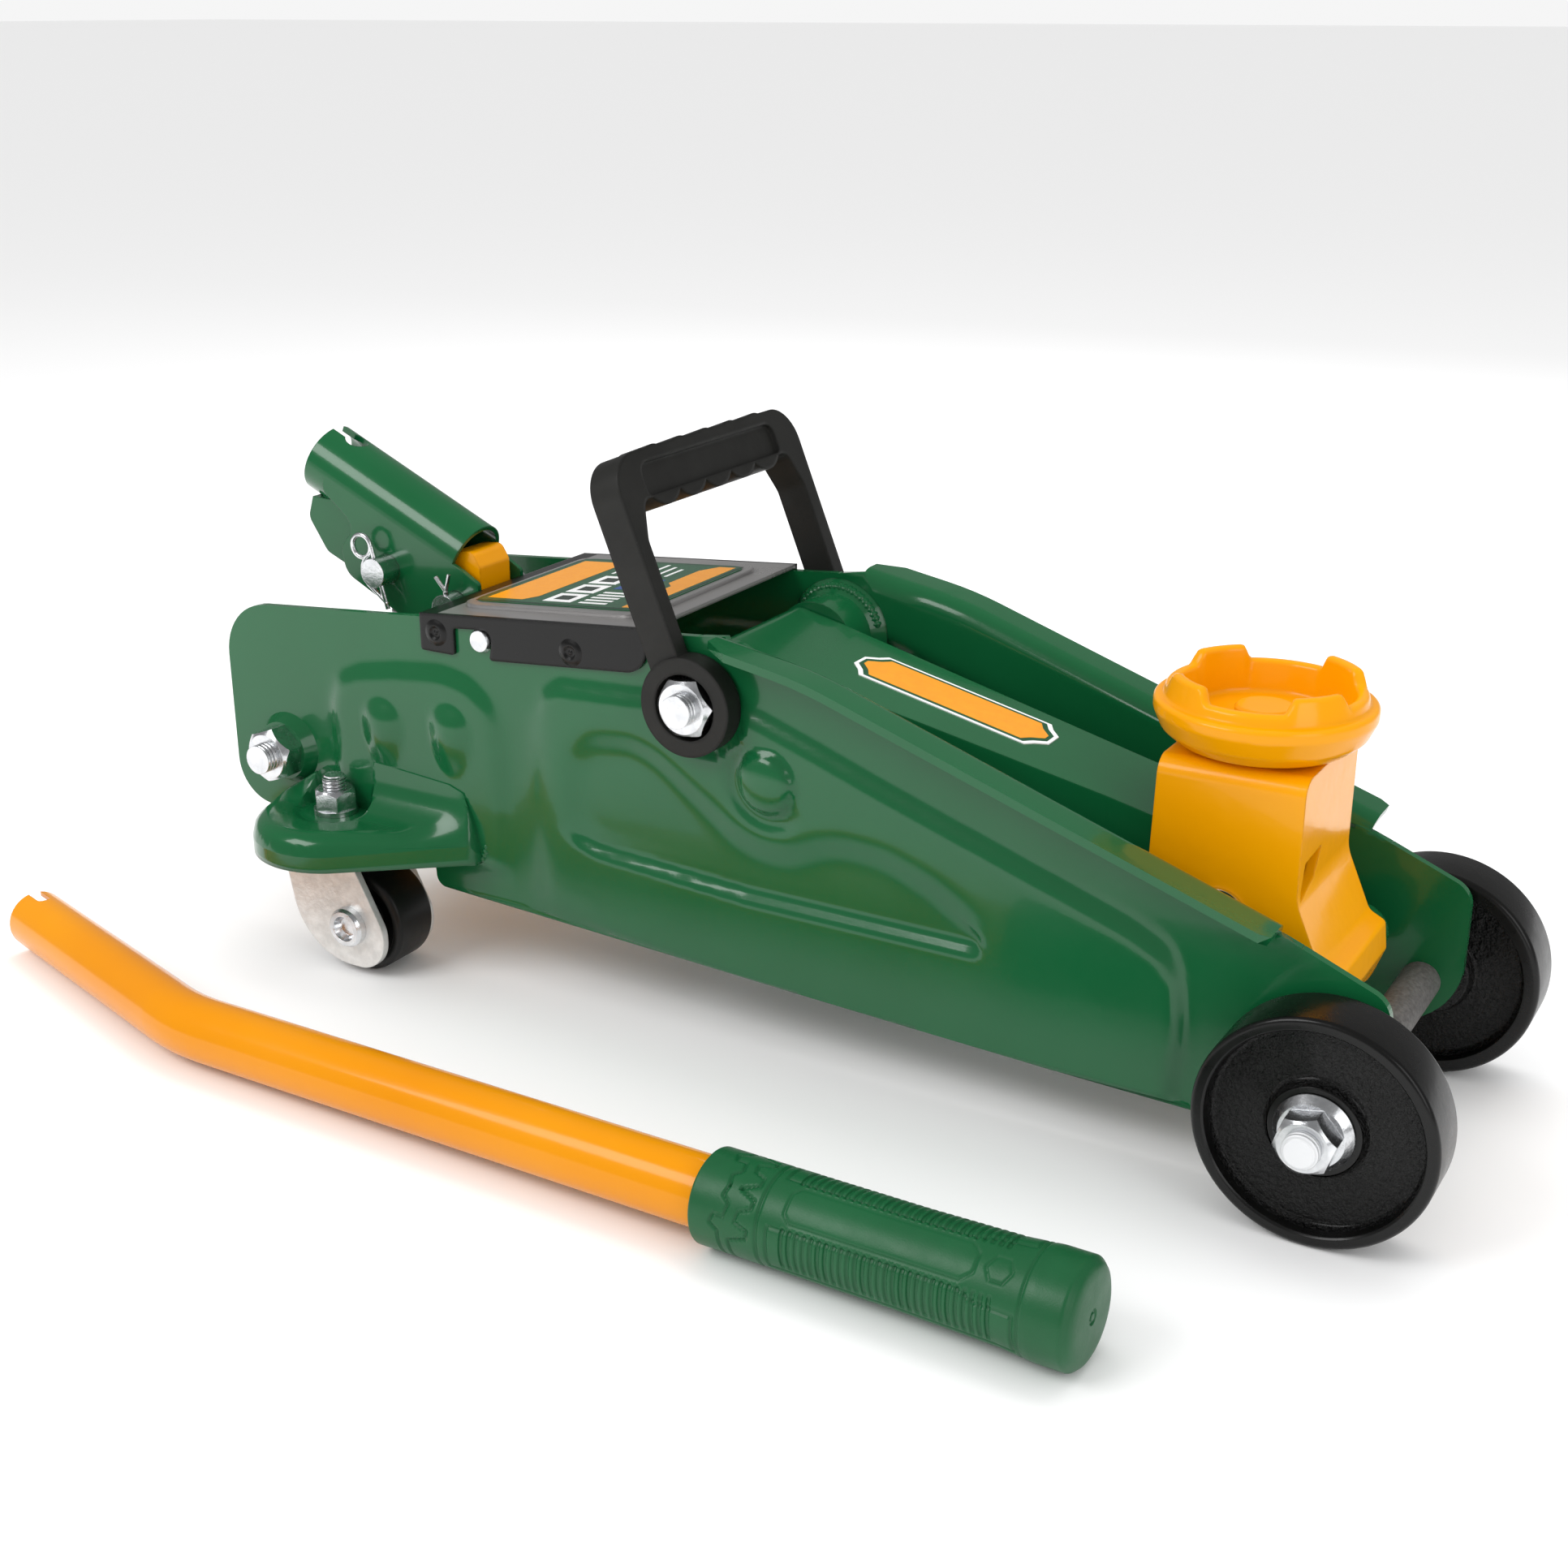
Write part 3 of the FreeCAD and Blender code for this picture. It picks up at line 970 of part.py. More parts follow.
def handle_path():
    end_y = HANDLE_BEND.y - HANDLE_SKEW * (GRIP_END_X - HANDLE_BEND.x)
    return HANDLE_TIP, HANDLE_BEND, V(GRIP_END_X, end_y, GRIP_END_R + GRIP_TILT_RISE)


def handle_tube():
    tip, bend, end = handle_path()
    u = tip - bend
    w = end - bend
    u.normalize()
    w.normalize()
    radius = 70.0
    half = u.getAngle(w) / 2
    run = radius / math.tan(half)
    bisector = u + w
    bisector.normalize()
    middle = bend + bisector * (radius / math.sin(half) - radius)
    stop = end - w * 6.0
    path = Part.Wire([Part.makeLine(tip, bend + u * run),
                      Part.Arc(bend + u * run, middle, bend + w * run).toShape(),
                      Part.makeLine(bend + w * run, stop)])
    shapes = []
    for r in (TUBE_R, TUBE_R - TUBE_WALL):
        ring = Part.Wire(Part.makeCircle(r, tip, u))
        shapes.append(path.makePipeShell([ring], True, False))
    tube = shapes[0].cut(shapes[1])
    slot = Part.makeBox(8.0, 4.2, 30.0, V(-1.0, -2.1, -15.0))
    slot = slot.fuse(Part.makeCylinder(2.1, 30.0, V(7.0, 0, -15.0)))
    slot.rotate(V(0, 0, 0), Z_AXIS, math.degrees(math.atan2(-u.y, -u.x)))
    slot.translate(tip)
    return tube.cut(slot)


def handle_grip():
    _, bend, end = handle_path()
    w = end - bend
    w.normalize()
    start = end - w * (GRIP_END_X - GRIP_START_X)
    length = (end - start).Length
    profile = [(TUBE_R, 0), (GRIP_R - 0.8, 0), (GRIP_R, 1.2), (GRIP_R, 60.0), (GRIP_R + 0.5, 88.0),
               (GRIP_END_R, 97.0), (GRIP_END_R, length - 2.5), (GRIP_END_R - 1.6, length - 0.6),
               (GRIP_END_R - 4.0, length), (0, length), (0, length - 5.9), (TUBE_R, length - 5.9)]
    points = [V(s, 0, r) for r, s in profile]
    points.append(points[0])
    grip = Part.Face(Part.makePolygon(points)).revolve(V(0, 0, 0), X_AXIS, 360)
    grip.Placement = FreeCAD.Placement(start, FreeCAD.Rotation(X_AXIS, w))
    return grip


def build():
    single = {
        "front_axle": front_axle, "rear_tie_bolt": rear_tie_bolt, "frame_nuts": frame_nuts,
        "upper_tie_rod": upper_tie_rod, "pivot_bolt": pivot_bolt, "top_cover": top_cover,
        "cover_label": cover_label, "pump_block": pump_block, "reservoir_tube": reservoir_tube,
        "reservoir_cap": reservoir_cap, "ram_cylinder": ram_cylinder, "filler_plug": filler_plug,
        "pump_barrel": pump_barrel, "hinge_pin": hinge_pin, "hinge_cotter": hinge_cotter,
        "release_valve": release_valve, "ram_rod": ram_rod, "ram_seal": ram_seal, "ram_head": ram_head,
        "return_springs": return_springs, "lift_arm": lift_arm, "arm_pivot_tube": arm_pivot_tube,
        "ram_roller": ram_roller, "arm_label": arm_label, "saddle_bracket": saddle_bracket,
        "arm_pin": arm_pin, "link_pin": link_pin, "pin_rings": pin_rings, "saddle": saddle,
        "saddle_pin": saddle_pin, "saddle_ring": saddle_ring, "pump_plunger": pump_plunger,
        "plunger_spring": plunger_spring, "handle_socket": handle_socket, "clevis_pin": clevis_pin,
        "clevis_clip": clevis_clip, "carry_handle": carry_handle, "pump_handle_tube": handle_tube,
        "pump_handle_grip": handle_grip,
    }
    pairs = {
        "side_plate": side_plate, "caster_bracket": caster_bracket, "caster_fork": caster_fork,
        "caster_rivet": caster_rivet, "caster_wheel": caster_wheel, "front_wheel": front_wheel,
        "link_rod": link_rod,
    }
    groups = {
        "axle_nuts": axle_nut, "pivot_bosses": pivot_boss, "link_studs": link_stud,
        "caster_studs": caster_stud, "caster_washers": caster_washer, "caster_nuts": caster_nut,
    }
    for name, make in single.items():
        NODES[name] = make()
    for name, make in pairs.items():
        right = make()
        NODES[name + "_right"] = right
        NODES[name + "_left"] = mirrored(right)
    for name, make in groups.items():
        NODES[name] = both_sides(make())


def origin_shift():
    """Move the drawing frame so that the origin is the bottom centre of everything."""
    bounds = FreeCAD.BoundBox()
    for shape in NODES.values():
        bounds.add(shape.optimalBoundingBox(False))
    return V(-bounds.Center.x, -bounds.Center.y, -bounds.ZMin)


build()
shift = origin_shift()
os.makedirs("parts", exist_ok=True)
for name, shape in NODES.items():
    placed = shape.copy()
    placed.translate(shift)
    placed.exportStep("parts/" + name + ".step")
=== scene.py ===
import math

import bmesh
import bpy
import numpy as np
from mathutils import Matrix, Vector
from mathutils.geometry import delaunay_2d_cdt


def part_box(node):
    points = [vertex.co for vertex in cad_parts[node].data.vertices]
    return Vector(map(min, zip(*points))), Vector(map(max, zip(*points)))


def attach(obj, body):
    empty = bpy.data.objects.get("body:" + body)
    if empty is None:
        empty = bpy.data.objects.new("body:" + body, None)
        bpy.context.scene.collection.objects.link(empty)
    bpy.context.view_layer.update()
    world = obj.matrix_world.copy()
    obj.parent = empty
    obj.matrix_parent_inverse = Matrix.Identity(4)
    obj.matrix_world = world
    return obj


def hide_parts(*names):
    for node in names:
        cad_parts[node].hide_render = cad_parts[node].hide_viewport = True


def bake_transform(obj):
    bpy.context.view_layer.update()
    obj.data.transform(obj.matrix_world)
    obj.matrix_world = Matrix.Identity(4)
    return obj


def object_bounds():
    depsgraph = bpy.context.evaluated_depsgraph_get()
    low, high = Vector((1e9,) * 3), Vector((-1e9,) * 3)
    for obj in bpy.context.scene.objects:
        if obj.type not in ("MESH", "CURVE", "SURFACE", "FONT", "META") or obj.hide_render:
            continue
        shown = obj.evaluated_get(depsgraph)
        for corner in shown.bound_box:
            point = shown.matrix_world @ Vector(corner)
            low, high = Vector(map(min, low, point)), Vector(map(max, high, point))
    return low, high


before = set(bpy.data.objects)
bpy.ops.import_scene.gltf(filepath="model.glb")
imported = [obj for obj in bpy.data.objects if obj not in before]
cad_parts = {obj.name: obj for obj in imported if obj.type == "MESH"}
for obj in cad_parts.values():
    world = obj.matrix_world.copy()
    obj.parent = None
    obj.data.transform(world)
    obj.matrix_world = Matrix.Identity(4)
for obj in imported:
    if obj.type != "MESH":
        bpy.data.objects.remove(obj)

# Lengths named below are in millimetres, unless the name ends in _M.
MM = 0.001
SIDES = [("right", -1), ("left", 1)]
CAD_LOW, CAD_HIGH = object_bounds()
AXLE_Z = 33.0
AXLE_LOW, AXLE_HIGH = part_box("front_axle")
ORIGIN = (AXLE_LOW + AXLE_HIGH) / 2 - Vector((0, 0, AXLE_Z * MM))


def at(x, y, z):
    """Millimetres from the front axle (X), the middle plane (Y) and the floor (Z), to the row frame."""
    return ORIGIN + Vector((x, y, z)) * MM


def to_mm(p):
    """The row frame to millimetres from the front axle, the middle plane and the floor."""
    return (p - ORIGIN) / MM


# ---- camera, light and floor ----

CAMERA_LENS = 48.19
CAMERA_PLACE = (125.0, -545.2, 307.7)
CAMERA_DOWN_DEG = 20.44
CAMERA_TURN_DEG = 30.56
WORLD_LEVEL = 0.92
WORLD_MIRRORED = 0.26
FLOOR_REACH_M = 30.0
FLOOR_GAP = 0.2


def make_camera():
    data = bpy.data.cameras.new("camera")
    data.lens = CAMERA_LENS
    data.sensor_width = 36.0
    data.clip_start = 0.01
    cam = bpy.data.objects.new("camera", data)
    cam.location = at(*CAMERA_PLACE)
    cam.rotation_euler = (math.radians(90 - CAMERA_DOWN_DEG), 0, math.radians(CAMERA_TURN_DEG))
    bpy.context.scene.collection.objects.link(cam)
    bpy.context.scene.camera = cam


def area_light(name, place, target, size, power, mirrored=True):
    """Rectangular lamp; one that isn't mirrored lights the jack but leaves no highlight on the paint."""
    data = bpy.data.lights.new(name, "AREA")
    data.shape = "RECTANGLE"
    data.size, data.size_y = size
    data.energy = power
    lamp = bpy.data.objects.new(name, data)
    lamp.visible_glossy = mirrored
    lamp.location = place
    lamp.rotation_mode = "QUATERNION"
    lamp.rotation_quaternion = (target - place).to_track_quat("-Z", "Y")
    bpy.context.scene.collection.objects.link(lamp)


def make_world():
    """Even white surroundings, dimmer where a shiny surface mirrors them."""
    world = bpy.data.worlds.new("studio")
    world.use_nodes = True
    tree = world.node_tree
    background = tree.nodes["Background"]
    background.inputs["Color"].default_value = (1.0, 1.0, 1.0, 1.0)
    path = tree.nodes.new("ShaderNodeLightPath")
    level = tree.nodes.new("ShaderNodeMapRange")
    level.inputs["To Min"].default_value = WORLD_LEVEL
    level.inputs["To Max"].default_value = WORLD_MIRRORED
    tree.links.new(path.outputs["Is Glossy Ray"], level.inputs["Value"])
    tree.links.new(level.outputs["Result"], background.inputs["Strength"])
    bpy.context.scene.world = world
    bpy.context.scene.view_settings.view_transform = "Standard"


def make_lights():
    middle = at(-190.0, 0, 60.0)
    area_light("key", at(-700, -850, 900), middle, (0.7, 0.5), 6.0)
    area_light("top", at(-150, 350, 1250), middle, (1.2, 0.6), 4.5, False)
    area_light("side", at(900, -500, 520), middle, (0.5, 0.7), 2.2)
    area_light("back", at(-350, 1100, 700), middle, (1.2, 0.5), 2.6, False)


def make_floor():
    mesh = bpy.data.meshes.new("floor")
    corners = [(x * FLOOR_REACH_M, y * FLOOR_REACH_M, 0) for x, y in ((-1, -1), (1, -1), (1, 1), (-1, 1))]
    mesh.from_pydata(corners, [], [(0, 1, 2, 3)])
    floor = bpy.data.objects.new("floor", mesh)
    floor.location = (0, 0, CAD_LOW.z - FLOOR_GAP * MM)
    white = bpy.data.materials.new("floor_white")
    white.use_nodes = True
    shader = white.node_tree.nodes["Principled BSDF"]
    shader.inputs["Base Color"].default_value = (0.92, 0.92, 0.92, 1)
    shader.inputs["Roughness"].default_value = 0.9
    shader.inputs["Specular IOR Level"].default_value = 0.05
    mesh.materials.append(white)
    bpy.context.scene.collection.objects.link(floor)


# ---- materials ----

class Nodes:
    """Shorthand for building one material's node tree."""

    def __init__(self, name):
        self.material = bpy.data.materials.new(name)
        self.material.use_nodes = True
        self.tree = self.material.node_tree
        self.shader = self.tree.nodes["Principled BSDF"]
        self.coords = self.add("ShaderNodeTexCoord").outputs["Object"]

    def add(self, kind, inputs=None, **settings):
        node = self.tree.nodes.new(kind)
        for key, value in settings.items():
            setattr(node, key, value)
        for key, value in (inputs or {}).items():
            self.put(node.inputs[key], value)
        return node

    def put(self, socket, value):
        if isinstance(value, bpy.types.NodeSocket):
            self.tree.links.new(value, socket)
        else:
            socket.default_value = value

    def noise(self, scale, detail, rough=0.55):
        node = self.add("ShaderNodeTexNoise", {"Vector": self.coords, "Scale": scale, "Detail": detail,
                                               "Roughness": rough})
        return node.outputs["Fac"]

    def spread(self, value, low, high, to_low, to_high):
        node = self.add("ShaderNodeMapRange", {"Value": value, "From Min": low, "From Max": high,
                                               "To Min": to_low, "To Max": to_high})
        return node.outputs["Result"]

    def mix(self, factor, a, b):
        node = self.add("ShaderNodeMix", data_type="RGBA")
        self.put(node.inputs["Factor"], factor)
        self.put(node.inputs[6], a)
        self.put(node.inputs[7], b)
        return node.outputs[2]

    def math(self, operation, a, b=0.0):
        node = self.add("ShaderNodeMath", operation=operation)
        self.put(node.inputs[0], a)
        self.put(node.inputs[1], b)
        return node.outputs[0]

    def axis(self, letter):
        node = self.add("ShaderNodeSeparateXYZ", {"Vector": self.coords})
        return node.outputs[letter]

    def from_middle_plane(self):
        return self.math("ABSOLUTE", self.math("SUBTRACT", self.axis("Y"), ORIGIN.y))

    def source(self, name):
        """What already feeds one of the shader's inputs."""
        return self.shader.inputs[name].links[0].from_socket

    def bump(self, height, distance, normal=None):
        node = self.add("ShaderNodeBump", {"Height": height, "Distance": distance, "Strength": 1.0})
        if normal is not None:
            self.tree.links.new(normal, node.inputs["Normal"])
        return node.outputs["Normal"]

    def soft_edge(self, radius):
        node = self.add("ShaderNodeBevel", {"Radius": radius}, samples=4)
        return node.outputs["Normal"]


def rgb(r, g, b):
    """sRGB 0 to 255 to a linear colour."""
    def linear(c):
        c = c / 255
        return c / 12.92 if c <= 0.04045 else ((c + 0.055) / 1.055) ** 2.4
    return (linear(r), linear(g), linear(b), 1.0)


BRIGHT_ZINC = rgb(238, 239, 241)
THREAD_DEPTH = 0.28
AXLE_BAR_HALF = 60.0
COVER_GREY_HALF = 43.6
COVER_GREY_REAR = -299.0


def finish_material(n, colour, shade, mottle, rough, metal=0.0, coat=0.0, coat_rough=0.08, grain=(), edge=0.0,
                    specular=0.5):
    """Common finish: mottled colour, uneven roughness and bump layers of (scale, depth in m, detail)."""
    patches = n.noise(mottle, 4.0, 0.6)
    n.put(n.shader.inputs["Base Color"], n.mix(n.spread(patches, 0.35, 0.65, 0.0, 1.0), shade, colour))
    wear = n.noise(mottle * 3.1, 5.0, 0.65)
    n.put(n.shader.inputs["Roughness"], n.spread(wear, 0.3, 0.7, rough[0], rough[1]))
    n.shader.inputs["Metallic"].default_value = metal
    n.shader.inputs["Coat Weight"].default_value = coat
    n.shader.inputs["Coat Roughness"].default_value = coat_rough
    n.shader.inputs["Specular IOR Level"].default_value = specular
    normal = n.soft_edge(edge) if edge else None
    for scale, depth, detail in grain:
        normal = n.bump(n.noise(scale, detail), depth, normal)
    if normal is not None:
        n.put(n.shader.inputs["Normal"], normal)
    return n.material


def paint(name, colour, shade, peel=0.000025, edge=0.0007, lumps=0.0, coat=0.35):
    """Powder coat with orange peel; lumps is the depth in m of the casting's unevenness under it."""
    n = Nodes(name)
    grain = [(130.0, lumps, 2.0)] if lumps else []
    grain += [(420.0, peel, 2.0), (1900.0, peel * 0.2, 1.0)]
    return finish_material(n, colour, shade, 9.0, (0.16, 0.24), coat=coat, coat_rough=0.07, grain=grain,
                           edge=edge, specular=coat)


def press_thread(n, letter, pitch, where=None):
    """Screw thread along an axis, pitch in mm, pressed into a finished material; where masks it."""
    ridge = n.math("SINE", n.math("MULTIPLY", n.axis(letter), 2 * math.pi / (pitch * MM)))
    if where is not None:
        ridge = n.math("MULTIPLY", ridge, where)
    n.put(n.shader.inputs["Normal"], n.bump(ridge, THREAD_DEPTH * MM, n.source("Normal")))


def zinc(name, thread_axis=None, pitch=1.5, colour=BRIGHT_ZINC, shade=rgb(212, 214, 217), rough=(0.16, 0.3)):
    """Bright zinc plate, or another bare metal in its colours; a screw has its thread along thread_axis."""
    n = Nodes(name)
    material = finish_material(n, colour, shade, 160.0, rough, metal=1.0,
                               grain=[(900.0, 0.00004, 3.0)], edge=0.0003)
    if thread_axis:
        press_thread(n, thread_axis, pitch)
    return material


def hammered_zinc():
    """Cast, hammered zinc of the caster fork."""
    n = Nodes("hammered_zinc")
    return finish_material(n, rgb(234, 234, 232), rgb(216, 216, 214), 240.0, (0.34, 0.46), metal=0.6,
                           grain=[(620.0, 0.00014, 2.0), (1800.0, 0.00006, 2.0)], edge=0.0006)


def axle_finish():
    """Grey bar between the wheels, bright thread outside them."""
    n = Nodes("axle_bar")
    material = finish_material(n, rgb(122, 120, 118), rgb(96, 94, 92), 700.0, (0.45, 0.55), metal=0.35,
                               grain=[(1400.0, 0.00003, 3.0)], edge=0.0004)
    outside = n.math("GREATER_THAN", n.from_middle_plane(), AXLE_BAR_HALF * MM)
    n.put(n.shader.inputs["Base Color"], n.mix(outside, n.source("Base Color"), BRIGHT_ZINC))
    press_thread(n, "Y", 1.5, outside)
    return material


def black(name, rough, grain, colour=rgb(34, 34, 34), shade=rgb(24, 24, 24), edge=0.001, metal=0.0, coat=0.0):
    n = Nodes(name)
    return finish_material(n, colour, shade, 45.0, rough, metal=metal, coat=coat, grain=grain, edge=edge,
                           specular=0.28)


def cover_finish():
    """Grey satin top; the side flaps and the rear strip are black."""
    n = Nodes("cover_satin")
    material = finish_material(n, rgb(150, 148, 147), rgb(144, 142, 141), 12.0, (0.27, 0.31), coat=0.12,
                               grain=[(700.0, 0.00002, 2.0)], edge=0.0015, specular=0.28)
    side = n.spread(n.from_middle_plane(), COVER_GREY_HALF * MM, (COVER_GREY_HALF + 0.5) * MM, 0.0, 1.0)
    behind = n.spread(n.axis("X"), at(COVER_GREY_REAR - 0.6, 0, 0).x, at(COVER_GREY_REAR, 0, 0).x, 1.0, 0.0)
    dark = n.math("MAXIMUM", side, behind)
    n.put(n.shader.inputs["Base Color"], n.mix(dark, n.source("Base Color"), rgb(10, 10, 10)))
    n.put(n.shader.inputs["Metallic"], n.spread(dark, 0.0, 1.0, 0.5, 0.0))
    return material


def grip_finish():
    n = Nodes("grip_green")
    return finish_material(n, rgb(20, 88, 50), rgb(16, 82, 45), 40.0, (0.34, 0.46), specular=0.35,
                           grain=[(2200.0, 0.00003, 2.0), (320.0, 0.00002, 2.0)])


def flat_print(name, colour, shade):
    n = Nodes(name)
    return finish_material(n, colour, shade, 300.0, (0.28, 0.36), coat=0.3, grain=[(2400.0, 0.00001, 1.0)])


GREEN = paint("green_powder", rgb(18, 92, 52), rgb(14, 86, 47))
GREEN_SHEET = paint("green_powder_sheet", rgb(18, 92, 52), rgb(14, 86, 47), edge=0.0)
ORANGE = paint("orange_powder", rgb(240, 162, 0), rgb(234, 154, 0), peel=0.00003, edge=0.0009, lumps=0.00015,
               coat=0.2)
ORANGE_TUBE = paint("orange_tube", rgb(222, 142, 0), rgb(216, 134, 0), peel=0.00002, edge=0.0004, coat=0.2)
ZINC = zinc("zinc_plate")
ZINC_TIE = zinc("zinc_thread_y", "Y")
ZINC_STUD = zinc("zinc_thread_z", "Z", 1.25)
STEEL = zinc("bare_steel", colour=rgb(150, 150, 148), shade=rgb(110, 110, 110), rough=(0.3, 0.45))
CHROME = zinc("ground_rod", colour=rgb(220, 222, 225), shade=rgb(200, 202, 205), rough=(0.06, 0.12))
FORK_ZINC = hammered_zinc()
AXLE = axle_finish()
MOULDED = black("moulded_black", (0.42, 0.52), [(2600.0, 0.00003, 2.0)], rgb(32, 32, 30), rgb(26, 26, 24),
                0.0016)
ROLLER = black("roller_black", (0.34, 0.44), [(1500.0, 0.00003, 2.0)], rgb(16, 16, 15), rgb(10, 10, 9), 0.0)
WHEEL = black("wheel_enamel", (0.24, 0.34), [(300.0, 0.00005, 2.0)], rgb(14, 14, 13), rgb(8, 8, 8), 0.0,
              coat=0.1)
WEB = black("wheel_cast_web", (0.26, 0.38), [(650.0, 0.0017, 3.0), (1600.0, 0.0006, 2.0)],
            rgb(14, 14, 13), rgb(8, 8, 8), 0.0, coat=0.2)
OXIDE = black("black_oxide", (0.38, 0.6), [(800.0, 0.0001, 3.0)], rgb(70, 68, 66), rgb(38, 37, 36), 0.0004,
              metal=0.8)
FLAP = black("flap_black", (0.26, 0.38), [(500.0, 0.00004, 2.0)], rgb(12, 12, 12), rgb(8, 8, 8), 0.0006,
             coat=0.1)
SEAL = black("seal_rubber", (0.5, 0.65), [(1200.0, 0.00004, 2.0)], edge=0.0003)
COVER = cover_finish()
GRIP = grip_finish()
PRINT_WHITE = flat_print("print_white", rgb(246, 246, 246), rgb(238, 238, 238))
PRINT_GREEN = flat_print("print_green", rgb(10, 84, 48), rgb(8, 76, 43))
PRINT_ORANGE = flat_print("print_orange", rgb(240, 156, 0), rgb(236, 150, 0))
PRINT_BLUE = flat_print("print_blue", rgb(20, 74, 150), rgb(16, 66, 138))
PRINT_DARK = flat_print("print_dark", rgb(14, 46, 32), rgb(10, 40, 28))

# ---- CAD pieces that keep their own shape ----

CAD_LOOKS = [
    (GREEN, ["pivot_bosses", "link_studs", "lift_arm", "link_rod_right", "link_rod_left", "handle_socket"]),
    (ORANGE, ["pump_block", "reservoir_tube", "reservoir_cap", "saddle_bracket", "saddle_pin"]),
    (ORANGE_TUBE, ["pump_handle_tube"]),
    (ZINC, ["axle_nuts", "frame_nuts", "upper_tie_rod", "pump_barrel", "hinge_pin", "hinge_cotter",
            "caster_washers", "caster_nuts", "pin_rings", "clevis_pin", "clevis_clip", "release_valve",
            "caster_rivet_right", "caster_rivet_left"]),
    (ZINC_TIE, ["rear_tie_bolt", "pivot_bolt"]),
    (ZINC_STUD, ["caster_studs"]),
    (STEEL, ["ram_cylinder", "arm_pivot_tube", "ram_roller"]),
    (CHROME, ["ram_rod", "pump_plunger"]),
    (OXIDE, ["ram_head", "link_pin", "saddle_ring"]),
    (AXLE, ["front_axle"]),
    (FLAP, ["arm_pin"]),
    (FORK_ZINC, ["caster_fork_right", "caster_fork_left"]),
    (MOULDED, ["carry_handle"]),
    (COVER, ["top_cover"]),
    (SEAL, ["ram_seal", "filler_plug"]),
    (PRINT_GREEN, ["cover_label"]),
    (PRINT_WHITE, ["arm_label"]),
]


def dress(node, material):
    """Give a CAD piece its material without touching its mesh."""
    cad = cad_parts[node]
    if not cad.material_slots:
        cad.data.materials.append(None)
    for holder in cad.material_slots:
        holder.link = "OBJECT"
        holder.material = material


# ---- mesh helpers ----

def add_mesh(name, points, faces, material, sharp_deg=None):
    """A smooth-shaded mesh in the scene, with edges sharper than sharp_deg kept crisp."""
    mesh = bpy.data.meshes.new(name)
    mesh.from_pydata([tuple(p) for p in points], [], faces)
    mesh.materials.append(material)
    mesh.shade_smooth()
    if sharp_deg:
        mesh.set_sharp_from_angle(angle=math.radians(sharp_deg))
    obj = bpy.data.objects.new(name, mesh)
    bpy.context.scene.collection.objects.link(obj)
    return obj


def piece(name, points, faces, material, body, stands_for=(), sharp_deg=32.0, flip=False):
    """A mesh that rides on one body; stands_for names the CAD pieces that it takes the place of."""
    obj = add_mesh(name, points, faces, material, sharp_deg)
    if flip:
        obj.data.flip_normals()
    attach(obj, body)
    if stands_for:
        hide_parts(*stands_for)
    return obj


def smooth_step(value, low, high):
    t = np.clip((value - low) / (high - low), 0, 1)
    return t * t * (3 - 2 * t)


def stretches(line):
    """The straight stretches of an open line."""
    return list(zip(line, line[1:]))


def closed(line):
    """The stretches of a line that ends where it began."""
    return stretches(line + line[:1])


def inside(border, x, z):
    """Which of the points (x, z) a closed border of stretches goes round."""
    hit = np.zeros(x.shape, bool)
    for (xa, za), (xb, zb) in border:
        if za != zb:
            hit ^= ((za > z) != (zb > z)) & (x < (xb - xa) * (z - za) / (zb - za) + xa)
    return hit


def distance(border, x, z):
    """How far each point (x, z) is from the nearest of the stretches."""
    near = np.full(x.shape, 1e9)
    for (xa, za), (xb, zb) in border:
        length2 = (xb - xa) ** 2 + (zb - za) ** 2
        t = np.clip(((x - xa) * (xb - xa) + (z - za) * (zb - za)) / max(length2, 1e-9), 0, 1)
        near = np.minimum(near, np.hypot(x - xa - t * (xb - xa), z - za - t * (zb - za)))
    return near


def grid_points(xs, zs):
    return [a.ravel() for a in np.meshgrid(xs, zs, indexing="ij")]


def hoops(rows, around, first=0):
    """Faces that join rows of points into a tube, each row being a ring of around points."""
    faces = []
    for i in range(rows - 1):
        a = first + i * around
        b = a + around
        for k in range(around):
            j = (k + 1) % around
            faces.append((a + k, a + j, b + j, b + k))
    return faces


NEARLY_STRAIGHT = 1.55


def rounded(corners, steps=5):
    """Open line through (a, b, radius) corners, each turned as an arc unless the line hardly bends there."""
    line = [corners[0][:2]]
    for before, (a, b, r), after in zip(corners, corners[1:], corners[2:]):
        corner = Vector((a, b))
        back = Vector(before[:2]) - corner
        ahead = Vector(after[:2]) - corner
        half = back.normalized().angle(ahead.normalized()) / 2
        if r <= 0 or half > NEARLY_STRAIGHT:
            line.append((a, b))
            continue
        run = min(r / math.tan(half), back.length * 0.49, ahead.length * 0.49)
        r = run * math.tan(half)
        centre = corner + (back.normalized() + ahead.normalized()).normalized() * (r / math.sin(half))
        start = corner + back.normalized() * run - centre
        stop = corner + ahead.normalized() * run - centre
        turn = start.angle_signed(stop)
        for k in range(steps + 1):
            arm = start.copy()
            arm.rotate(Matrix.Rotation(-turn * k / steps, 2))
            line.append(tuple(centre + arm))
    line.append(corners[-1][:2])
    return line


def lathe(profile, centre, axis, steps):
    """Profile of (radius, distance along axis) in mm, turned about the axis; returns points and faces."""
    turn = Vector((0, 0, 1)).rotation_difference(axis)
    points = []
    for r, s in profile:
        for k in range(steps):
            a = 2 * math.pi * k / steps
            points.append(centre + turn @ Vector((r * math.cos(a), r * math.sin(a), s)) * MM)
    return points, hoops(len(profile), steps)


# ---- side plates with their pressings ----

